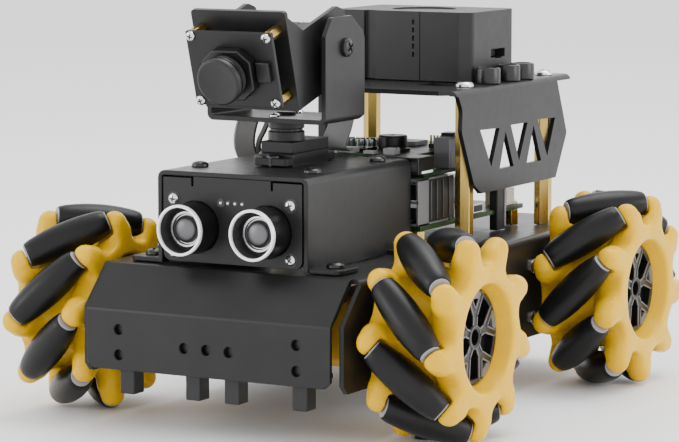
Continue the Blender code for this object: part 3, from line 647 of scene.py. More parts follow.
side_front = BUMP_Y + 3.1
chassis_cuts = [
    cut_prism("x", [(-110, 70), (-82.4, 70), (-82.4, 49.2), (side_front, 38.1), (-110, 38.1)], -60, 60),
    cut_prism("x", [(-110, 20.0), (side_front, 20.0), (side_front + 3.0, 17.0), (side_front + 3.0, 5), (-110, 5)], -60, 60),
    cut_prism("x", [(93.2, 17.0), (96.6, 20.6), (110, 20.6), (110, 5), (93.2, 5)], -60, 60),
    cut_box((-12, 12), (-62, -38), (45, 60)),
]
for axle in AXLE_Y:
    chassis_cuts.append(cut_rod("x", (axle, WHEEL_R), 5.0, -60, 60))
put("chassis_channel", carved([cut_prism("y", arch(CH_X, CH_TOP, CH_LOW, SHEET, 2.2), side_front, CH_REAR)], chassis_cuts, [SHEET_MAT], 0.22), "chassis", None, ("chassis_frame",))
flap = rounded(
    [(-82.6, CH_TOP), (CH_FRONT, CH_TOP), (BUMP_Y, BUMP_Z), (BUMP_Y, BUMP_LOW), (BUMP_Y + SHEET, BUMP_LOW), (BUMP_Y + SHEET, BUMP_Z - 0.6), (-82.9, CH_TOP - SHEET), (-82.6, CH_TOP - SHEET)],
    [0, 1.1, 2.2, 0, 0, 0.8, 0.0, 0],
)
flap_cuts = [cut_rod("y", (x, z), 1.7, -110, -85) for x, z in [(s * 31.8, z) for s in (-1, 1) for z in (32.0, 24.0)] + [(-8.0, 27.9), (0.0, 27.9), (8.0, 27.9)]]
for s in (-1, 1):
    flap_cuts.append(cut_prism("y", [(s * (BUMP_X - 3.0), BUMP_LOW - 1.0), (s * (BUMP_X + 2.0), BUMP_LOW - 1.0), (s * (BUMP_X + 2.0), BUMP_LOW + 4.0)], -110, -90))
put("chassis_front_flap", carved([cut_prism("x", flap, -BUMP_X, BUMP_X)], flap_cuts, [SHEET_MAT], 0.22), "chassis")
put("chassis_rear_flap", carved([cut_prism("x", rounded([(94.9, 49.5), (CH_REAR, 49.5), (CH_REAR, 24.0), (94.9, 24.0)], [0, 0, 0, 0]), -41.5, 41.5)], [cut_rod("y", (x, 32.0), 1.7, 90, 100) for x in (-31.8, 31.8)], [SHEET_MAT], 0.25), "chassis")
wear = [(32.8, -73.6), (-32.8, -73.6), (32.8, -22.0), (-32.8, -22.0)]
eyelets = []
for s in (-1, 1):
    for y in (AXLE_Y[0] + 19.7, AXLE_Y[1] - 19.7):
        eyelets += [((s * CH_X, y - 2.4, 41.3), (s, 0, 0), 0.0), ((s * CH_X, y - 2.4, 23.9), (s, 0, 0), 0.0)]


def eyelet(bm):
    lathe(bm, (0, 0, 0), (0, 0, 1), [(0.0, 1.15), (0.0, 2.3), (0.55, 2.3), (0.85, 2.0), (0.85, 1.35), (0.6, 1.15)], 28)


def eyelet_core(bm):
    lathe(bm, (0, 0, 0), (0, 0, 1), [(0.0, 0.0), (0.0, 1.2), (0.35, 1.2), (0.45, 1.0), (0.45, 0.0)], 24)


put("motor_screw_rims", copies(pile([eyelet], [STEEL]), eyelets, [STEEL]), "chassis")
put("motor_screw_cores", copies(pile([eyelet_core], [BLACK_SCREW]), eyelets, [BLACK_SCREW]), "chassis")

# ---- geared motors ----------------------------------------------------------------------
for tag, s, axle, toward in (("front_left", -1, AXLE_Y[0], 1), ("front_right", 1, AXLE_Y[0], 1), ("rear_left", -1, AXLE_Y[1], -1), ("rear_right", 1, AXLE_Y[1], -1)):
    face = CH_X - SHEET - 0.3
    xs = sorted((s * (face - 18.8), s * face))
    mid = s * (face - 9.4)
    ys = lambda a, b: tuple(sorted((axle + toward * a, axle + toward * b)))
    z0, z1 = WHEEL_R - 11.2, WHEEL_R + 11.2

    def shell(bm, xs=xs, ys=ys, z0=z0, z1=z1):
        y0, y1 = ys(-11.0, 27.0)
        prism(bm, "x", rounded([(y0, z0), (y1, z0), (y1, z1), (y0, z1)], [3.0, 3.0, 3.0, 3.0]), xs[0], xs[1])

    def seam(bm, mid=mid, ys=ys, z0=z0, z1=z1):
        y0, y1 = ys(-11.25, 27.25)
        prism(bm, "x", rounded([(y0, z0 - 0.25), (y1, z0 - 0.25), (y1, z1 + 0.25), (y0, z1 + 0.25)], [3.2, 3.2, 3.2, 3.2]), mid - 0.6, mid + 0.6)

    def can(bm, mid=mid, ys=ys):
        lo_y, hi_y = ys(26.0, 51.0)
        prism(bm, "y", [(mid + a, WHEEL_R + b) for a, b in rounded([(-7.4, -10.0), (7.4, -10.0), (9.2, -5.0), (9.2, 5.0), (7.4, 10.0), (-7.4, 10.0), (-9.2, 5.0), (-9.2, -5.0)], [2.0] * 8)], lo_y, hi_y)

    def tail(bm, mid=mid, ys=ys):
        lo_y, hi_y = ys(50.5, 58.0)
        rod(bm, "y", (mid, WHEEL_R), 5.0, lo_y, hi_y)

    def shaft(bm, s=s, axle=axle, face=face):
        lo_x, hi_x = sorted((s * (face - 3.0), s * (WHEEL_X - 9.6)))
        rod(bm, "x", (axle, WHEEL_R), 2.7, lo_x, hi_x)

    put(f"gearbox_{tag}", pile([shell, seam, shaft], [GEARBOX], 0.35), "chassis", None, (f"gear_motor_{tag}",))
    put(f"motor_can_{tag}", pile([can], [DIM_METAL], 0.4), "chassis")
    put(f"motor_tail_{tag}", pile([tail], [PLASTIC], 0.4), "chassis")

# ---- line sensor ------------------------------------------------------------------------
ly = BUMP_Y + SHEET + 0.3
put("line_sensor_body", pile([cut_box((-37, 37), (ly, ly + 1.6), (20.4, 36.4)), cut_box((-37, 37), (ly + 0.8, ly + 12.0), (20.4, 22.0))], [PLASTIC], 0.2), "chassis", None, ("line_sensor_board",))
put("line_sensor_feet", pile([cut_box((x - 2.6, x + 2.6), (ly + 1.8, ly + 7.6), (11.2, 21.2)) for x in (-31, -7, 7, 31)], [SERVO], 0.35), "chassis")
put("line_sensor_windows", pile([cut_rod("z", (x, ly + 4.7), 1.5, 11.0, 12.0) for x in (-31, -7, 7, 31)], [GLASS], 0.1), "chassis")

# ---- sonar housing ----------------------------------------------------------------------
y0, y1 = COVER_Y
cover_cuts = [cut_box((-6.6, 6.6), (PAN_Y - 6.5, PAN_Y + 17.5), (70, 90))]
put("sensor_cover_shell", carved([cut_prism("y", arch(COVER_X, COVER_TOP, COVER_LOW, SHEET, 2.4), y0, y1)], cover_cuts, [SHEET_MAT], 0.28, 3), "chassis", None, ("sensor_cover",))
face = rounded(
    [(-24.95, 52.5), (24.95, 52.5), (24.95, 78.75), (14.7, 78.75), (14.7, 76.2), (13.9, 76.2), (13.9, 79.25), (-13.9, 79.25), (-13.9, 76.2), (-14.7, 76.2), (-14.7, 78.75), (-24.95, 78.75)],
    [2.6, 2.6, 0.3, 0, 0, 0, 0, 0, 0, 0, 0, 0.3],
)
face_cuts = [cut_rod("y", (s * SONAR_X, SONAR_Z), SONAR_R + 0.35, -90, -70, 48) for s in (-1, 1)]
put("sensor_cover_face", carved([cut_prism("y", face, y0 + 0.1, y0 + 1.5)], face_cuts, [SHEET_MAT], 0.14), "chassis")
feet = []
for s in (-1, 1):
    for a, b in ((y0 + 0.6, y0 + 14.0), (y1 - 16.0, y1 - 2.0)):
        x_in, x_out = s * (COVER_X - 1.0), s * (COVER_X + 11.0)
        feet.append(cut_prism("z", rounded([(x_in, a), (x_out, a), (x_out, b), (x_in, b)], [0, 2.5, 2.5, 0]) if s > 0 else rounded([(x_in, a), (x_in, b), (x_out, b), (x_out, a)], [0, 0, 2.5, 2.5]), COVER_LOW, COVER_LOW + SHEET))
put("sensor_cover_feet", pile(feet, [SHEET_MAT], 0.22), "chassis")
put("cover_feet_screws", screws([((x, y, COVER_LOW + SHEET), (0, 0, 1), 0.4) for x, y in wear], BLACK_SCREW, SCREW, 2.9), "chassis")
put("cover_roof_screws", screws([((s * 20.4, -66.0, COVER_TOP - 0.05), (0, 0, 1), 0.3) for s in (-1, 1)] + [((s * 20.4, -24.0, COVER_TOP - 0.05), (0, 0, 1), 0.7) for s in (-1, 1)], BLACK_SCREW, SOCKET, 2.75), "chassis")
front = y0 + 0.1
corners = [(s * 21.0, z) for s in (-1, 1) for z in (55.2, 72.0)]
# Dark discs round the sonar screws: painted shade of their holes.
put("sonar_screw_well_shade", pile([cut_rod("y", (x, z), 2.25, front - 0.12, front + 0.3) for x, z in corners], [MESH_AND_SHADE_DARK]), "chassis")
put("sonar_screws", screws([((x, front - 0.1, z), (0, -1, 0), 0.5 + i) for i, (x, z) in enumerate(corners)], STEEL, SCREW, 1.75), "chassis")

# ---- sonar ------------------------------------------------------------------------------
back = y0 + 1.8
tubes, rims, walls, plates, domes, glints = [], [], [], [], [], []
reach = back - SONAR_FACE_Y
for s in (-1, 1):
    o = (s * SONAR_X, back, SONAR_Z)
    tubes.append(lambda bm, o=o: lathe(bm, o, (0, -1, 0), [(0.0, 7.1), (0.0, 7.95), (reach - 0.9, 7.95), (reach - 0.9, 7.1)], 64))
    rims.append(lambda bm, o=o: lathe(bm, o, (0, -1, 0), [(reach - 1.3, 7.15), (reach - 1.3, 7.98), (reach - 0.25, 8.0), (reach, 7.85), (reach, 7.25), (reach - 0.2, 7.12)], 72))
    walls.append(lambda bm, o=o: lathe(bm, o, (0, -1, 0), [(0.2, 0.0), (0.2, 7.15), (reach - 1.0, 7.15), (reach - 1.0, 7.0), (reach - 6.4, 7.0), (reach - 6.4, 0.0)], 64))
    plates.append(lambda bm, o=o: lathe(bm, o, (0, -1, 0), [(reach - 6.6, 0.0), (reach - 6.6, 5.7), (reach - 4.7, 5.7), (reach - 4.5, 5.5), (reach - 4.5, 4.9), (reach - 4.8, 4.7), (reach - 5.2, 4.6), (reach - 5.2, 0.0)], 56))
    domes.append(lambda bm, o=o: lathe(bm, o, (0, -1, 0), [(reach - 6.0, 0.0), (reach - 6.0, 4.35), (reach - 4.9, 4.35), (reach - 4.0, 4.0), (reach - 3.3, 3.0), (reach - 2.95, 1.6), (reach - 2.85, 0.0)], 48))
put("sonar_tubes", pile(tubes, [PLASTIC], 0.0, sharp=25), "chassis", None, ("sonar_module",))
put("sonar_rims", pile(rims, [RING], 0.0, sharp=60), "chassis")
put("sonar_walls", pile(walls, [MESH_AND_SHADE_DARK], 0.0), "chassis")
put("sonar_plates", pile(plates, [STEEL], 0.0), "chassis")
put("sonar_domes", pile(domes, [DIM_METAL], 0.0, sharp=60), "chassis")
put("sonar_board", pile([cut_box((-22.5, 22.5), (back, back + 1.6), (53.4, 73.8))], [BOARD], 0.1), "chassis")
put("sonar_plug", pile([cut_box((-5.1, 5.1), (back + 1.9, back + 7.0), (70.0, 73.0))], [WHITE], 0.2), "chassis")
pins = [(-3.9, 1.35), (-1.3, 0.85), (1.25, 0.85), (3.8, 0.85)]
# Dark discs round the pins: painted shade of the holes they pass through.
put("sonar_pin_well_shade", pile([cut_rod("y", (x, 71.6), r, front - 0.1, front + 0.3, 24) for x, r in pins], [MESH_AND_SHADE_DARK]), "chassis")
put("sonar_pins", pile([cut_rod("y", (x, 71.6), 0.36, front - 0.5, front + 0.2, 16) for x, r in pins], [WHITE], 0.06), "chassis")

# ---- pan servo --------------------------------------------------------------------------
ear_z = COVER_TOP + 0.3
put("pan_servo_body", pile([
    cut_box((-5.9, 5.9), (PAN_Y - 5.9, PAN_Y + 16.9), (66.5, 84.6)),
    cut_box((-5.9, 5.9), (PAN_Y - 5.9, PAN_Y + 16.9), (84.8, 88.5)),
    cut_box((-5.7, 5.7), (PAN_Y - 5.7, PAN_Y + 16.7), (84.4, 85.0)),
    cut_prism("z", rounded([(-5.9, PAN_Y - 10.4), (5.9, PAN_Y - 10.4), (5.9, PAN_Y + 21.4), (-5.9, PAN_Y + 21.4)], [0.8] * 4), ear_z, ear_z + 2.5),
    cut_rod("z", (0, PAN_Y), 5.85, 88.4, 91.6, 48),
    cut_rod("z", (0, PAN_Y + 6.6), 2.6, 88.4, 89.9, 32),
], [SERVO], 0.3), "chassis", None, ("pan_servo",))
put("pan_servo_gear", pile([cut_prism("z", [(a, PAN_Y + b) for i in range(42) for a, b in [ngon(42, 5.2 if i % 2 else 5.0)[i]]], 91.5, 92.3)], [PLASTIC], 0.0), "chassis")
put("pan_servo_screws", screws([((0, PAN_Y - 8.3, ear_z + 2.4), (0, 0, 1), 0.2), ((0, PAN_Y + 19.2, ear_z + 2.4), (0, 0, 1), 0.9)], BLACK_SCREW, SCREW, 2.1), "chassis")
# Dark boxes in the ears stand for the slots: painted shade in the gaps.
put("pan_servo_slot_shade", pile([cut_box((-0.55, 0.55), (PAN_Y - 10.55, PAN_Y - 8.6), (ear_z - 0.05, ear_z + 2.56)), cut_box((-0.55, 0.55), (PAN_Y + 19.4, PAN_Y + 21.5), (ear_z - 0.05, ear_z + 2.56))], [MESH_AND_SHADE_DARK]), "chassis")

# ---- yoke -------------------------------------------------------------------------------
ya, yb = YOKE_Y
yoke_profile = rounded(
    [(-YOKE_X, YOKE_TOP), (-YOKE_X, YOKE_LOW), (YOKE_X, YOKE_LOW), (YOKE_X, YOKE_TOP), (YOKE_X - SHEET, YOKE_TOP), (YOKE_X - SHEET, YOKE_LOW + SHEET), (-YOKE_X + SHEET, YOKE_LOW + SHEET), (-YOKE_X + SHEET, YOKE_TOP)],
    [0, 2.2, 2.2, 0, 0, 0.7, 0.7, 0],
)
front_corner = rounded([(ya + 4.4, YOKE_TOP), (ya, 122.6), (ya, 121.5), (ya - 4, 121.5), (ya - 4, 134), (ya + 9, 134), (ya + 9, YOKE_TOP)], [2.0, 2.0, 0, 0, 0, 0, 0])
rear_corner = [(yb - 8.4, YOKE_TOP), (yb - 1.2, 123.4), (yb, 121.0), (yb + 4, 121.0), (yb + 4, 134), (yb - 8.4, 134)]
rear_low = [(yb + 0.2, YOKE_LOW + 1.9), (yb - 2.0, YOKE_LOW - 0.2), (yb - 2.0, YOKE_LOW - 4), (yb + 6, YOKE_LOW - 4), (yb + 6, YOKE_LOW + 1.9)]
yoke_cuts = [cut_prism("x", front_corner, -30, 30), cut_prism("x", rear_corner, -30, 30), cut_prism("x", rear_low, YOKE_X - 4, 30), cut_prism("x", rear_low, -30, -YOKE_X + 4), cut_rod("x", (TILT_Y, TILT_Z), 3.8, -30, -10)]
put("yoke_sheet", carved([cut_prism("y", yoke_profile, ya, yb)], yoke_cuts, [SHEET_MAT], 0.3, 3), "pan_yoke", None, ("pan_yoke",))
put("yoke_horn", pile([cut_rod("z", (0, PAN_Y), 5.7, 92.4, YOKE_LOW + 0.2, 48), cut_rod("z", (0, PAN_Y), 3.0, YOKE_LOW, YOKE_LOW + 2.6, 32)], [SERVO], 0.25), "pan_yoke")
put("yoke_floor_screws", screws([((x, PAN_Y + y, YOKE_LOW + SHEET), (0, 0, 1), 0.3) for x, y in ((0, 7.5), (0, -7.5), (0, 0))], STEEL, SCREW, 1.8), "pan_yoke")
put("yoke_pivot_screw", screws([((YOKE_X, TILT_Y, TILT_Z), (1, 0, 0), 0.6)], BLACK_SCREW, SCREW, 3.0), "pan_yoke")
put("yoke_pivot_shank", pile([cut_rod("x", (TILT_Y, TILT_Z), 1.5, BRACKET_X - 4.0, YOKE_X + 0.2, 24), cut_rod("x", (TILT_Y, TILT_Z), 2.6, BRACKET_X + 0.5, YOKE_X - SHEET - 0.1, 24)], [BRASS], 0.1), "pan_yoke")
put("yoke_drive_horn", pile([cut_rod("x", (TILT_Y, TILT_Z), 3.5, -YOKE_X + 0.1, -YOKE_X + SHEET + 0.9, 32)], [SERVO], 0.2), "pan_yoke")
put("yoke_drive_screw", screws([((-YOKE_X + 0.1, TILT_Y, TILT_Z), (-1, 0, 0), 0.2)], BLACK_SCREW, SCREW, 2.2), "pan_yoke")

# ---- camera head ------------------------------------------------------------------------
AT = (0.0, TILT_Y, TILT_Z)
TURN = Matrix.Rotation(math.radians(CAMERA_DOWN), 4, "X")
Y = lambda a: TILT_Y - a
Z = lambda b: TILT_Z + b
bx = BRACKET_X
flange = [(25.0, 19.0), (16.3, 11.3), (-6.0, 11.5), (-10.4, 8.7), (-10.4, -8.0), (-7.0, -11.7), (25.0, -11.7)]
flange = rounded([(Y(a), Z(b)) for a, b in flange], [0, 1.5, 2.0, 2.0, 2.0, 2.0, 0])
front_plate = rounded([(-bx, Z(-12.0)), (bx, Z(-12.0)), (bx, Z(20.4)), (-bx, Z(20.4))], [0.6, 0.6, 1.2, 1.2])
put("camera_bracket_sheet", carved(
    [cut_prism("y", front_plate, Y(25.4), Y(23.9)), cut_prism("x", flange, bx - SHEET, bx), cut_prism("x", flange, -bx, -bx + SHEET)],
    [cut_rod("x", (TILT_Y, TILT_Z), 1.8, bx - 4, bx + 3), cut_rod("x", (TILT_Y, TILT_Z), 6.2, -bx - 3, -bx + 4, 40), cut_box((-5, 5), (Y(28), Y(22)), (Z(-6), Z(-2)))],
    [SHEET_MAT], 0.28, 2, TURN, AT), "camera_head", None, ("camera_bracket",))
put("tilt_servo_body", pile([
    cut_box((-bx + SHEET + 0.3, 3.2), (Y(16.9), Y(-5.9)), (Z(-5.9), Z(5.9))),
    cut_box((3.4, 7.2), (Y(16.9), Y(-5.9)), (Z(-5.9), Z(5.9))),
    cut_box((3.0, 3.6), (Y(16.7), Y(-5.7)), (Z(-5.7), Z(5.7))),
    cut_rod("x", (TILT_Y, TILT_Z), 5.7, -YOKE_X + SHEET + 1.2, -bx + SHEET + 1.0, 40),
    cut_box((-bx + SHEET + 4.3, -bx + SHEET + 6.8), (Y(21.4), Y(-10.0)), (Z(-5.9), Z(5.9))),
], [SERVO], 0.3, 2, TURN, AT), "camera_head", None, ("tilt_servo",))
put("camera_board", pile([cut_prism("y", rounded([(-15.3, Z(-8.2)), (15.3, Z(-8.2)), (15.3, Z(16.0)), (-15.3, Z(16.0))], [0.5] * 4), Y(32.8), Y(31.3))], [SHEET_MAT], 0.18, 2, TURN, AT), "camera_head", None, ("camera_module",))
spots = [(s * 13.4, z) for s in (-1, 1) for z in (-6.7, 14.4)]
spacer_mesh = pile([cut_prism("y", [(x + a, Z(z) + b) for a, b in ngon(6, 1.9)], Y(31.2), Y(25.5)) for x, z in spots], [BRASS], 0.1, 2, TURN, AT)
put("camera_spacers", spacer_mesh, "camera_head")
heads = screws([((x, Y(32.8), Z(z)), (0, -1, 0), 0.3 + i) for i, (x, z) in enumerate(spots)], STEEL, SCREW, 1.6)
heads.transform(Matrix.Translation(Vector(AT) * MM) @ TURN @ Matrix.Translation(-Vector(AT) * MM))
put("camera_screws", heads, "camera_head")
mount = rounded([(a, Z(3.2 + b)) for a, b in ((-8.5, -4.5), (-4.5, -8.0), (4.5, -8.0), (8.5, -4.5), (8.5, 4.5), (4.5, 8.0), (-4.5, 8.0), (-8.5, 4.5))], [1.0] * 8)
put("lens_mount", pile([cut_prism("y", mount, Y(36.5), Y(32.7)), cut_box((9.0, 13.6), (Y(34.6), Y(32.7)), (Z(0.5), Z(7.0)))], [PLASTIC], 0.35, 2, TURN, AT), "camera_head")


def lens(bm):
    o, d = (0, Y(36.4), Z(3.2)), (0, -1, 0)
    rows = [(0.0, 0.0), (0.0, 6.0), (0.7, 6.0), (0.9, 6.9)]
    for i in range(4):
        at = 1.2 + i * 0.45
        rows += [(at, 6.9), (at + 0.12, 6.72), (at + 0.26, 6.72), (at + 0.38, 6.9)]
    rows += [(3.1, 6.9), (3.3, 7.15), (3.4, 7.45), (3.5, 7.5), (4.1, 7.5), (4.1, 0.0)]
    lathe(bm, o, d, rows, 64)


def lens_cap(bm):
    o, d = (0, Y(36.4), Z(3.2)), (0, -1, 0)
    lathe(bm, o, d, [(4.0, 0.0), (4.0, 7.1), (4.4, 7.1), (4.4, 7.45), (5.7, 7.45), (6.1, 7.3), (6.35, 6.9), (6.4, 6.4), (6.28, 6.1), (6.28, 0.0)], 64)


put("lens_barrel", pile([lens], [PLASTIC], 0.0, 2, TURN, AT, 24), "camera_head")
put("lens_cap", pile([lens_cap], [SERVO], 0.0, 2, TURN, AT, 40), "camera_head")
put("camera_plug", pile([cut_box((-6.0, 6.0), (Y(31.2), Y(27.0)), (Z(-7.6), Z(-4.0)))], [WHITE], 0.25, 2, TURN, AT), "camera_head")

# ---- deck -------------------------------------------------------------------------------
x0, x1 = DECK_X
dy0, dy1 = DECK_Y
deck_profile = rounded(
    [(x0, 96.5), (x0, DECK_TOP), (x1, DECK_TOP), (x1, 68.1), (x1 - SHEET, 68.1), (x1 - SHEET, DECK_TOP - SHEET), (x0 + SHEET, DECK_TOP - SHEET), (x0 + SHEET, 96.5)],
    [0, 2.2, 2.2, 0, 0, 0.7, 0.7, 0],
)
skirt_front = rounded([(-30, 101.2), (-7.2, 101.2), (-4.2, 96.3), (-4.8, 89.4), (4.2, 71.5), (9.7, 68.1), (9.7, 55), (-30, 55)], [0, 2.5, 5.0, 5.0, 2.5, 2.0, 0, 0])
skirt_rear = rounded([(66.6, 55), (66.6, 68.1), (75.3, 82.9), (68.7, 98.1), (67.4, 101.2), (100, 101.2), (100, 55)], [0, 2.5, 2.0, 2.0, 0, 0, 0])
down = [[(8.6, 89.0), (22.8, 88.6), (16.9, 76.2)], [(31.4, 88.9), (44.1, 88.8), (37.8, 76.5)], [(52.1, 89.2), (65.8, 88.8), (59.7, 76.1)]]
up = [[(27.4, 87.1), (33.6, 75.0), (23.2, 75.0)], [(48.8, 87.5), (54.9, 75.0), (43.6, 75.0)]]
deck_cuts = [cut_prism("x", skirt_front, x1 - 6, x1 + 6), cut_prism("x", skirt_rear, x1 - 6, x1 + 6)]
deck_cuts += [cut_prism("x", t, x1 - 6, x1 + 6) for t in down + up]
deck_cuts += [
    cut_prism("x", [(-30, 101.2), (-4.5, 101.2), (-2.0, 96.0), (-2.0, 90), (-30, 90)], x0 - 6, x0 + 6),
    cut_prism("x", [(100, 101.2), (70.5, 101.2), (68.0, 96.0), (68.0, 90), (100, 90)], x0 - 6, x0 + 6),
    cut_prism("z", [(x0 - 3, dy0 - 3), (x0 + 7.5, dy0 - 3), (x0 - 3, dy0 + 7.5)], 90, 110),
    cut_prism("z", [(x1 + 3, dy0 - 3), (x1 - 7.5, dy0 - 3), (x1 + 3, dy0 + 7.5)], 90, 110),
    cut_prism("z", [(a, -2.0 + b) for a, b in ngon(32, 6.0)], 90, 110),
    cut_box((18.0, 30.6), (7.0, 19.3), (90, 110)),
]
put("deck_sheet", carved([cut_prism("y", deck_profile, dy0, dy1)], deck_cuts, [SHEET_MAT], 0.28, 2), "chassis", None, ("deck_plate",))
put("deck_screws", screws([((x, y, DECK_TOP), (0, 0, 1), 0.4 + i) for i, (t, x, y) in enumerate(POSTS)], STEEL, SCREW, 3.0), "chassis")
for tag, px, py in POSTS:
    put(f"post_{tag}", pile([
        cut_prism("z", [(px + a, py + b) for a, b in ngon(6, 3.1, math.radians(30))], CH_TOP + 0.3, DECK_TOP - SHEET - 0.3),
    ], [BRASS], 0.22), "chassis", None, (f"standoff_{tag}",))


def knob(bm):
    lathe(bm, (0, 0, 0), (0, 0, 1), [(0.0, 0.0), (0.0, 3.9), (0.3, 4.1), (4.7, 4.1), (5.2, 3.9), (5.4, 3.5), (5.4, 3.1), (5.1, 2.9), (4.4, 2.8), (4.4, 0.0)], 48)


knob_mesh = pile([knob], [BLACK_SCREW], 0.0, sharp=26)
put("deck_knobs", copies(knob_mesh, [((35.9, 24.4, DECK_TOP), (0, 0, 1), 0), ((36.0, 39.2, DECK_TOP), (0, 0, 1), 0), ((36.2, 49.6, DECK_TOP), (0, 0, 1), 0)], [BLACK_SCREW]), "chassis")

# ---- battery case -----------------------------------------------------------------------
(cx0, cx1), (cy0, cy1), (cz0, cz1) = CASE_X, CASE_Y, CASE_Z
case_outline = rounded([(cx0 + 3, cy0), (cx1 - 4.2, cy0), (cx1, cy0 + 2.6), (cx1, cy1), (cx0, cy1), (cx0, cy0 + 3)], [1.6, 1.6, 1.6, 3.0, 3.0, 1.6], 6)
case_cuts = [
    cut_rod("z", ((cx0 + cx1) / 2, (cy0 + cy1) / 2), 11.0, cz1 - 0.6, cz1 + 3, 64),
    cut_box((cx1 - 5.0, cx1 + 3.0), (36.4, 46.7), (110.6, 113.4)),
    cut_box((cx1 - 5.0, cx1 + 3.0), (39.5, 44.5), (110.2, 110.9)),
    cut_box((-8.7, -4.6), (cy0 - 3, cy0 + 1.4), (90, 140)),
    cut_box((12.2, 12.55), (cy0 - 3, cy0 + 0.3), (90, 140)),
]
case_cuts += [cut_box((9.5, 10.3), (cy0 - 3, cy0 + 0.8), (z, z + 1.5)) for z in (111.2, 113.9, 116.6, 119.3, 122.0)]
put("battery_case_shell", carved([cut_prism("z", case_outline, cz0, cz1)], case_cuts, [CASE], 0.16, 2), "chassis", None, ("battery_case",))
# A dark slab at the back of the charge socket's recess: painted shade.
put("charge_socket_shade", pile([cut_box((cx1 - 4.9, cx1 - 3.5), (36.6, 46.5), (110.8, 113.2))], [MESH_AND_SHADE_DARK]), "chassis")


# ---- control board ----------------------------------------------------------------------
put("board_mask", pile([cut_box((-29, 29), (-10.5, 66), (57.0, 58.6))], [BOARD], 0.15), "chassis", None, ("control_board",))
put("board_feet", pile([cut_prism("z", [(x + a, y + b) for a, b in ngon(6, 2.7)], CH_TOP + 0.3, 56.7) for x in (-26, 26) for y in (-7, 62.5)], [BRASS], 0.15), "chassis")
put("board_feet_screws", screws([((x, y, 58.6), (0, 0, 1), 0.5) for x in (-26, 26) for y in (-7, 62.5)], STEEL, SCREW, 2.5), "chassis")
put("port_shield", pile([
    cut_box((12.0, 29.2), (-12.4, 8.6), (58.7, 59.4)),
    cut_box((12.0, 12.7), (-12.4, 8.6), (58.7, 74.0)),
    cut_box((28.5, 29.2), (-12.4, -4.8), (58.7, 74.0)),
    cut_box((12.0, 29.2), (-12.4, 8.6), (73.3, 74.0)),
    cut_box((12.0, 29.2), (-12.4, -11.9), (66.0, 67.0)),
], [SHIELD], 0.12), "chassis")
put("port_cores", pile([cut_box((13.6, 27.6), (-10.8, 8.0), (60.4, 64.6)), cut_box((13.6, 27.6), (-10.8, 8.0), (68.2, 72.0))], [PLASTIC], 0.2), "chassis")
put("port_side", pile([cut_box((28.7, 29.3), (-4.7, 12.6), (59.5, 73.4))], [PLASTIC], 0.1), "chassis")
put("port_side_ribs", pile([cut_box((29.1, 29.6), (y, y + 0.5), (60.2, 72.8)) for y in (-3.9, 0.2, 4.6, 9.0)], [DIM_METAL], 0.05), "chassis")
put("board_middle", pile([cut_box((-24, 28), (-6, 44), (74.1, 75.3))], [BOARD], 0.1), "chassis")
put("board_pillars", pile([cut_prism("z", [(x + a, y + b) for a, b in ngon(6, 2.3)], 58.6, 74.1) for x in (-21, 20) for y in (20, 41)], [BRASS], 0.1), "chassis")
put("port_black", pile([cut_box((12.4, 29.0), (-12.0, -0.6), (75.4, 81.0))], [PLASTIC], 0.3), "chassis")
# Dark boxes on the connector's front stand for its openings: painted shade.
put("port_black_mouth_shade", pile([cut_box((x, x + 4.2), (-12.1, -10.5), (76.6, 79.6)) for x in (13.6, 18.9, 24.2)], [MESH_AND_SHADE_DARK]), "chassis")
# A thin white strip on the black port's side: a painted highlight.
put("port_black_painted_highlight", pile([cut_box((28.95, 29.15), (-9.6, -2.0), (75.7, 76.5))], [WHITE], 0.05), "chassis")
put("heat_plate", pile([cut_box((22.4, 28.9), (11.0, 18.6), (75.4, 85.6))], [SHIELD], 0.5), "chassis")
put("heat_plate_edge", pile([cut_box((28.6, 29.4), (15.2, 18.4), (75.6, 85.0))], [RING], 0.2), "chassis")
put("board_top", pile([cut_box((-24, 22), (-8, 45), (79.5, 80.9))], [BOARD], 0.1), "chassis")
put("board_top_parts", pile([
    cut_box((-19, -14), (-7, -3), (81.0, 82.6)), cut_box((-11, -7.4), (-7.4, -4), (81.0, 82.2)), cut_box((-4, 2.6), (-7, -3.4), (81.0, 82.8)),
    cut_box((6, 10), (-7.2, -4.4), (81.0, 82.0)), cut_box((13, 17), (-6.4, -2), (81.0, 83.0)), cut_box((-20, -12), (4, 12), (81.0, 82.4)), cut_box((0, 9), (24, 33), (81.0, 82.4)),
], [CAP], 0.1), "chassis")
put("board_top_chips", pile([cut_box((-3.5, 3.5), (-0.5, 7.5), (81.0, 82.0)), cut_box((8, 15), (2, 9), (81.0, 82.0)), cut_box((-14, -6), (22, 32), (81.0, 82.2)), cut_box((10, 18), (36, 42), (81.0, 82.0))], [PLASTIC], 0.1), "chassis")
put("buzzer", pile([lambda bm: lathe(bm, (5.2, 15.0, 81.0), (0, 0, 1), [(0, 0), (0, 4.7), (0.3, 4.9), (3.9, 4.9), (4.3, 4.5), (4.3, 1.1), (3.6, 0.9), (3.6, 0)], 40)], [PLASTIC], 0.0), "chassis")
put("capacitors", pile([lambda bm, x=x: lathe(bm, (x, 12.0, 81.0), (0, 0, 1), [(0, 0), (0, 1.75), (0.4, 1.9), (2.9, 1.9), (3.3, 1.6), (3.3, 0)], 28) for x in (-9.5, -5.5, -1.6)], [STEEL], 0.0), "chassis")
put("header_pins", pile([cut_box((x - 0.3, x + 0.3), (19.7, 20.3), (81.0, 85.4)) for x in (17.0, 18.2, 19.4, 20.6)], [BRASS], 0.06), "chassis")
put("header_base", pile([cut_box((16.4, 21.2), (19.0, 21.0), (81.0, 82.6)), cut_box((21.6, 26.6), (18.0, 23.0), (75.4, 86.6))], [PLASTIC], 0.25), "chassis")
put("socket_row", pile([cut_box((21.0, 28.4), (28.6, 36.2), (58.7, 61.8))], [WHITE], 0.2), "chassis")
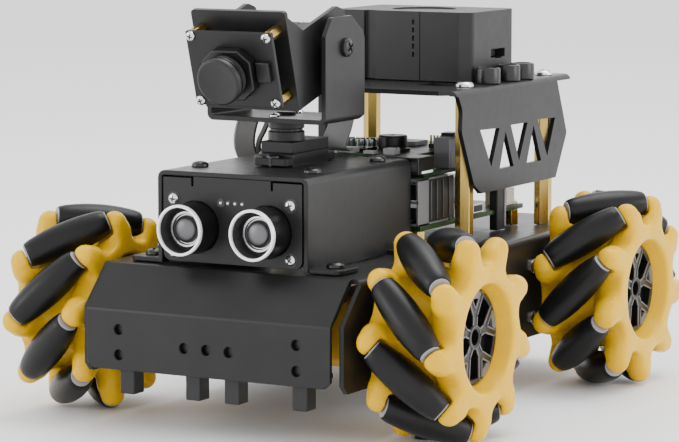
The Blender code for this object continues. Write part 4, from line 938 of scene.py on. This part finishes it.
# Dark boxes inside and on the front of the white socket: painted shade of its openings.
put("socket_row_shade", pile([cut_box((21.8, 28.6), (29.4, 35.4), (59.2, 61.3)), cut_box((28.0, 28.55), (29.3, 35.5), (59.3, 61.2))], [MESH_AND_SHADE_DARK]), "chassis")
put("side_pillar", pile([cut_box((27.0, 30.0), (43.8, 50.2), (CH_TOP + 0.3, 68.2))], [SERVO], 0.3), "chassis")
put("side_pillar_edge", pile([cut_box((29.6, 30.3), (49.0, 50.0), (52.6, 67.6))], [CAP], 0.1), "chassis")
put("ivory_socket", pile([cut_box((20.4, 28.0), (53.6, 61.2), (58.7, 64.6)), cut_box((27.9, 28.4), (54.6, 60.2), (59.4, 63.8))], [IVORY], 0.3), "chassis")
put("board_low_parts", pile([
    cut_box((-26, -14), (-10.0, -2), (58.7, 66.0)), cut_box((-8, 6), (-9.6, -4), (58.7, 64.0)), cut_box((-26.5, -20), (8, 24), (58.7, 65.0)), cut_box((-26.5, -20), (30, 52), (58.7, 65.0)), cut_box((-8, 10), (50, 62), (58.7, 68.0)),
], [PLASTIC], 0.35), "chassis")
put("board_low_pins", pile([cut_box((27.0, 28.0), (y, y + 0.6), (58.7, 61.4)) for y in (10.5, 13.0, 15.5, 18.0, 20.5, 23.0)], [CAP], 0.05), "chassis")


# ---- leads ------------------------------------------------------------------------------
def ribbon(points, width, thick, across, mat, count=26):
    """A flat lead swept through points, `across` being its wide direction."""
    across = Vector(across).normalized()
    pts = [Vector(p) for p in points]

    def at(t):
        n = len(pts) - 1
        i = min(int(t * n), n - 1)
        u = t * n - i
        p0, p1, p2, p3 = pts[max(i - 1, 0)], pts[i], pts[i + 1], pts[min(i + 2, n)]
        return 0.5 * ((2 * p1) + (p2 - p0) * u + (2 * p0 - 5 * p1 + 4 * p2 - p3) * u * u + (3 * p1 - p0 - 3 * p2 + p3) * u**3)

    def fill(bm):
        rings = []
        for k in range(count + 1):
            t = k / count
            here = at(t)
            ahead = (at(min(t + 0.01, 1)) - at(max(t - 0.01, 0))).normalized()
            side = (across - ahead * across.dot(ahead)).normalized()
            normal = ahead.cross(side).normalized()
            rings.append([bm.verts.new((here + side * a + normal * b) * MM) for a, b in ((-width / 2, -thick / 2), (width / 2, -thick / 2), (width / 2, thick / 2), (-width / 2, thick / 2))])
        faces = [bm.faces.new(rings[0]), bm.faces.new(rings[-1])]
        for low, high in zip(rings, rings[1:]):
            for i in range(4):
                j = (i + 1) % 4
                faces.append(bm.faces.new((low[i], low[j], high[j], high[i])))
        bmesh.ops.recalc_face_normals(bm, faces=faces)

    return fill


put("lead_ribbon", pile([ribbon([(-22, 2, 62), (-31, -6, 70), (-36.5, -10.6, 80), (-35.5, -10.9, 90), (-31.5, -8.0, 98.5), (-27, -2, 100.4)], 9.0, 0.9, (1, -0.25, 0.15), LEAD_DARK)], [LEAD_DARK], 0.2), "chassis")
put("lead_ribbon_edge", pile([ribbon([(-26.4, 1, 62.2), (-35.6, -5.4, 70.3), (-41.0 + 0.2, -9.5, 80), (-40.0 + 0.2, -9.8, 90), (-35.9, -7.2, 98.0), (-31.4, -1.4, 100.2)], 0.9, 1.2, (1, -0.25, 0.15), LEAD_GREY)], [LEAD_GREY], 0.15), "chassis")
put("lead_thin", pile([ribbon([(-22.5, -8.5, 100.6), (-25, -11.8, 95), (-28.4, -12.2, 88), (-31, -12.0, 82), (-30, -8, 74), (-24, -2, 67)], 1.6, 1.2, (1, 0, 0), LEAD_DARK)], [LEAD_DARK], 0.2), "chassis")
put("lead_grey", pile([ribbon([(2.0, -8.0, 100.8), (1.4, -11.0, 96.5), (-0.2, -11.6, 90), (-2.6, -11.2, 84), (-3.0, -7.0, 81.9)], 8.6, 0.8, (1, 0, 0), LEAD_GREY)], [LEAD_GREY], 0.2), "chassis")
put("lead_bar", pile([cut_box((-8.4, -5.2), (-11.9, -10.4), (83.2, 100.2))], [PLASTIC], 0.35), "chassis")

# ---- floor, lights and camera -----------------------------------------------------------
bpy.ops.mesh.primitive_plane_add(size=12.0, location=(0.0, 0.0, 0.0))
floor = bpy.context.object
floor.name = "floor"
floor.data.materials.append(FLOOR)


def area(name, where, target, size, power, colour=(1, 1, 1)):
    data = bpy.data.lights.new(name, "AREA")
    data.shape, data.size, data.size_y, data.energy, data.color = "RECTANGLE", size[0], size[1], power, colour
    obj = bpy.data.objects.new(name, data)
    bpy.context.scene.collection.objects.link(obj)
    obj.location = where
    obj.rotation_euler = (Vector(target) - Vector(where)).to_track_quat("-Z", "Y").to_euler()
    return obj


middle = (0.0, 0.0, 0.06)
area("over", (0.15, 0.35, 1.2), middle, (0.9, 0.7), 13.0)
area("left", (-0.95, -0.95, 0.35), middle, (0.5, 0.5), 5.0)
area("right", (1.1, 0.25, 0.4), middle, (0.6, 0.5), 4.0)

world = bpy.data.worlds.new("studio")
world.use_nodes = True
tree = world.node_tree
sky = tree.nodes["Background"]
where = tree.nodes.new("ShaderNodeTexCoord")
split = tree.nodes.new("ShaderNodeSeparateXYZ")
tree.links.new(where.outputs["Generated"], split.inputs["Vector"])
shade = tree.nodes.new("ShaderNodeValToRGB")
shade.color_ramp.interpolation = "EASE"
shade.color_ramp.elements[0].position = 0.2
shade.color_ramp.elements[0].color = (1.0, 1.0, 1.0, 1.0)
shade.color_ramp.elements[1].position = 0.9
shade.color_ramp.elements[1].color = (0.72, 0.72, 0.73, 1.0)
tree.links.new(split.outputs["Z"], shade.inputs["Fac"])
tree.links.new(shade.outputs["Color"], sky.inputs["Color"])
sky.inputs["Strength"].default_value = 2.1
bpy.context.scene.world = world

cam = bpy.data.cameras.new("view")
cam.sensor_width, cam.lens, cam.clip_start, cam.clip_end = 36.0, 167.04, 0.05, 30.0
eye = bpy.data.objects.new("view", cam)
bpy.context.scene.collection.objects.link(eye)
yaw, pitch = math.radians(29.09), math.radians(6.92)
eye.location = (0.49885, -0.90889, 0.18347)
eye.rotation_euler = (math.pi / 2 - pitch, 0.0, yaw)
bpy.context.scene.camera = eye
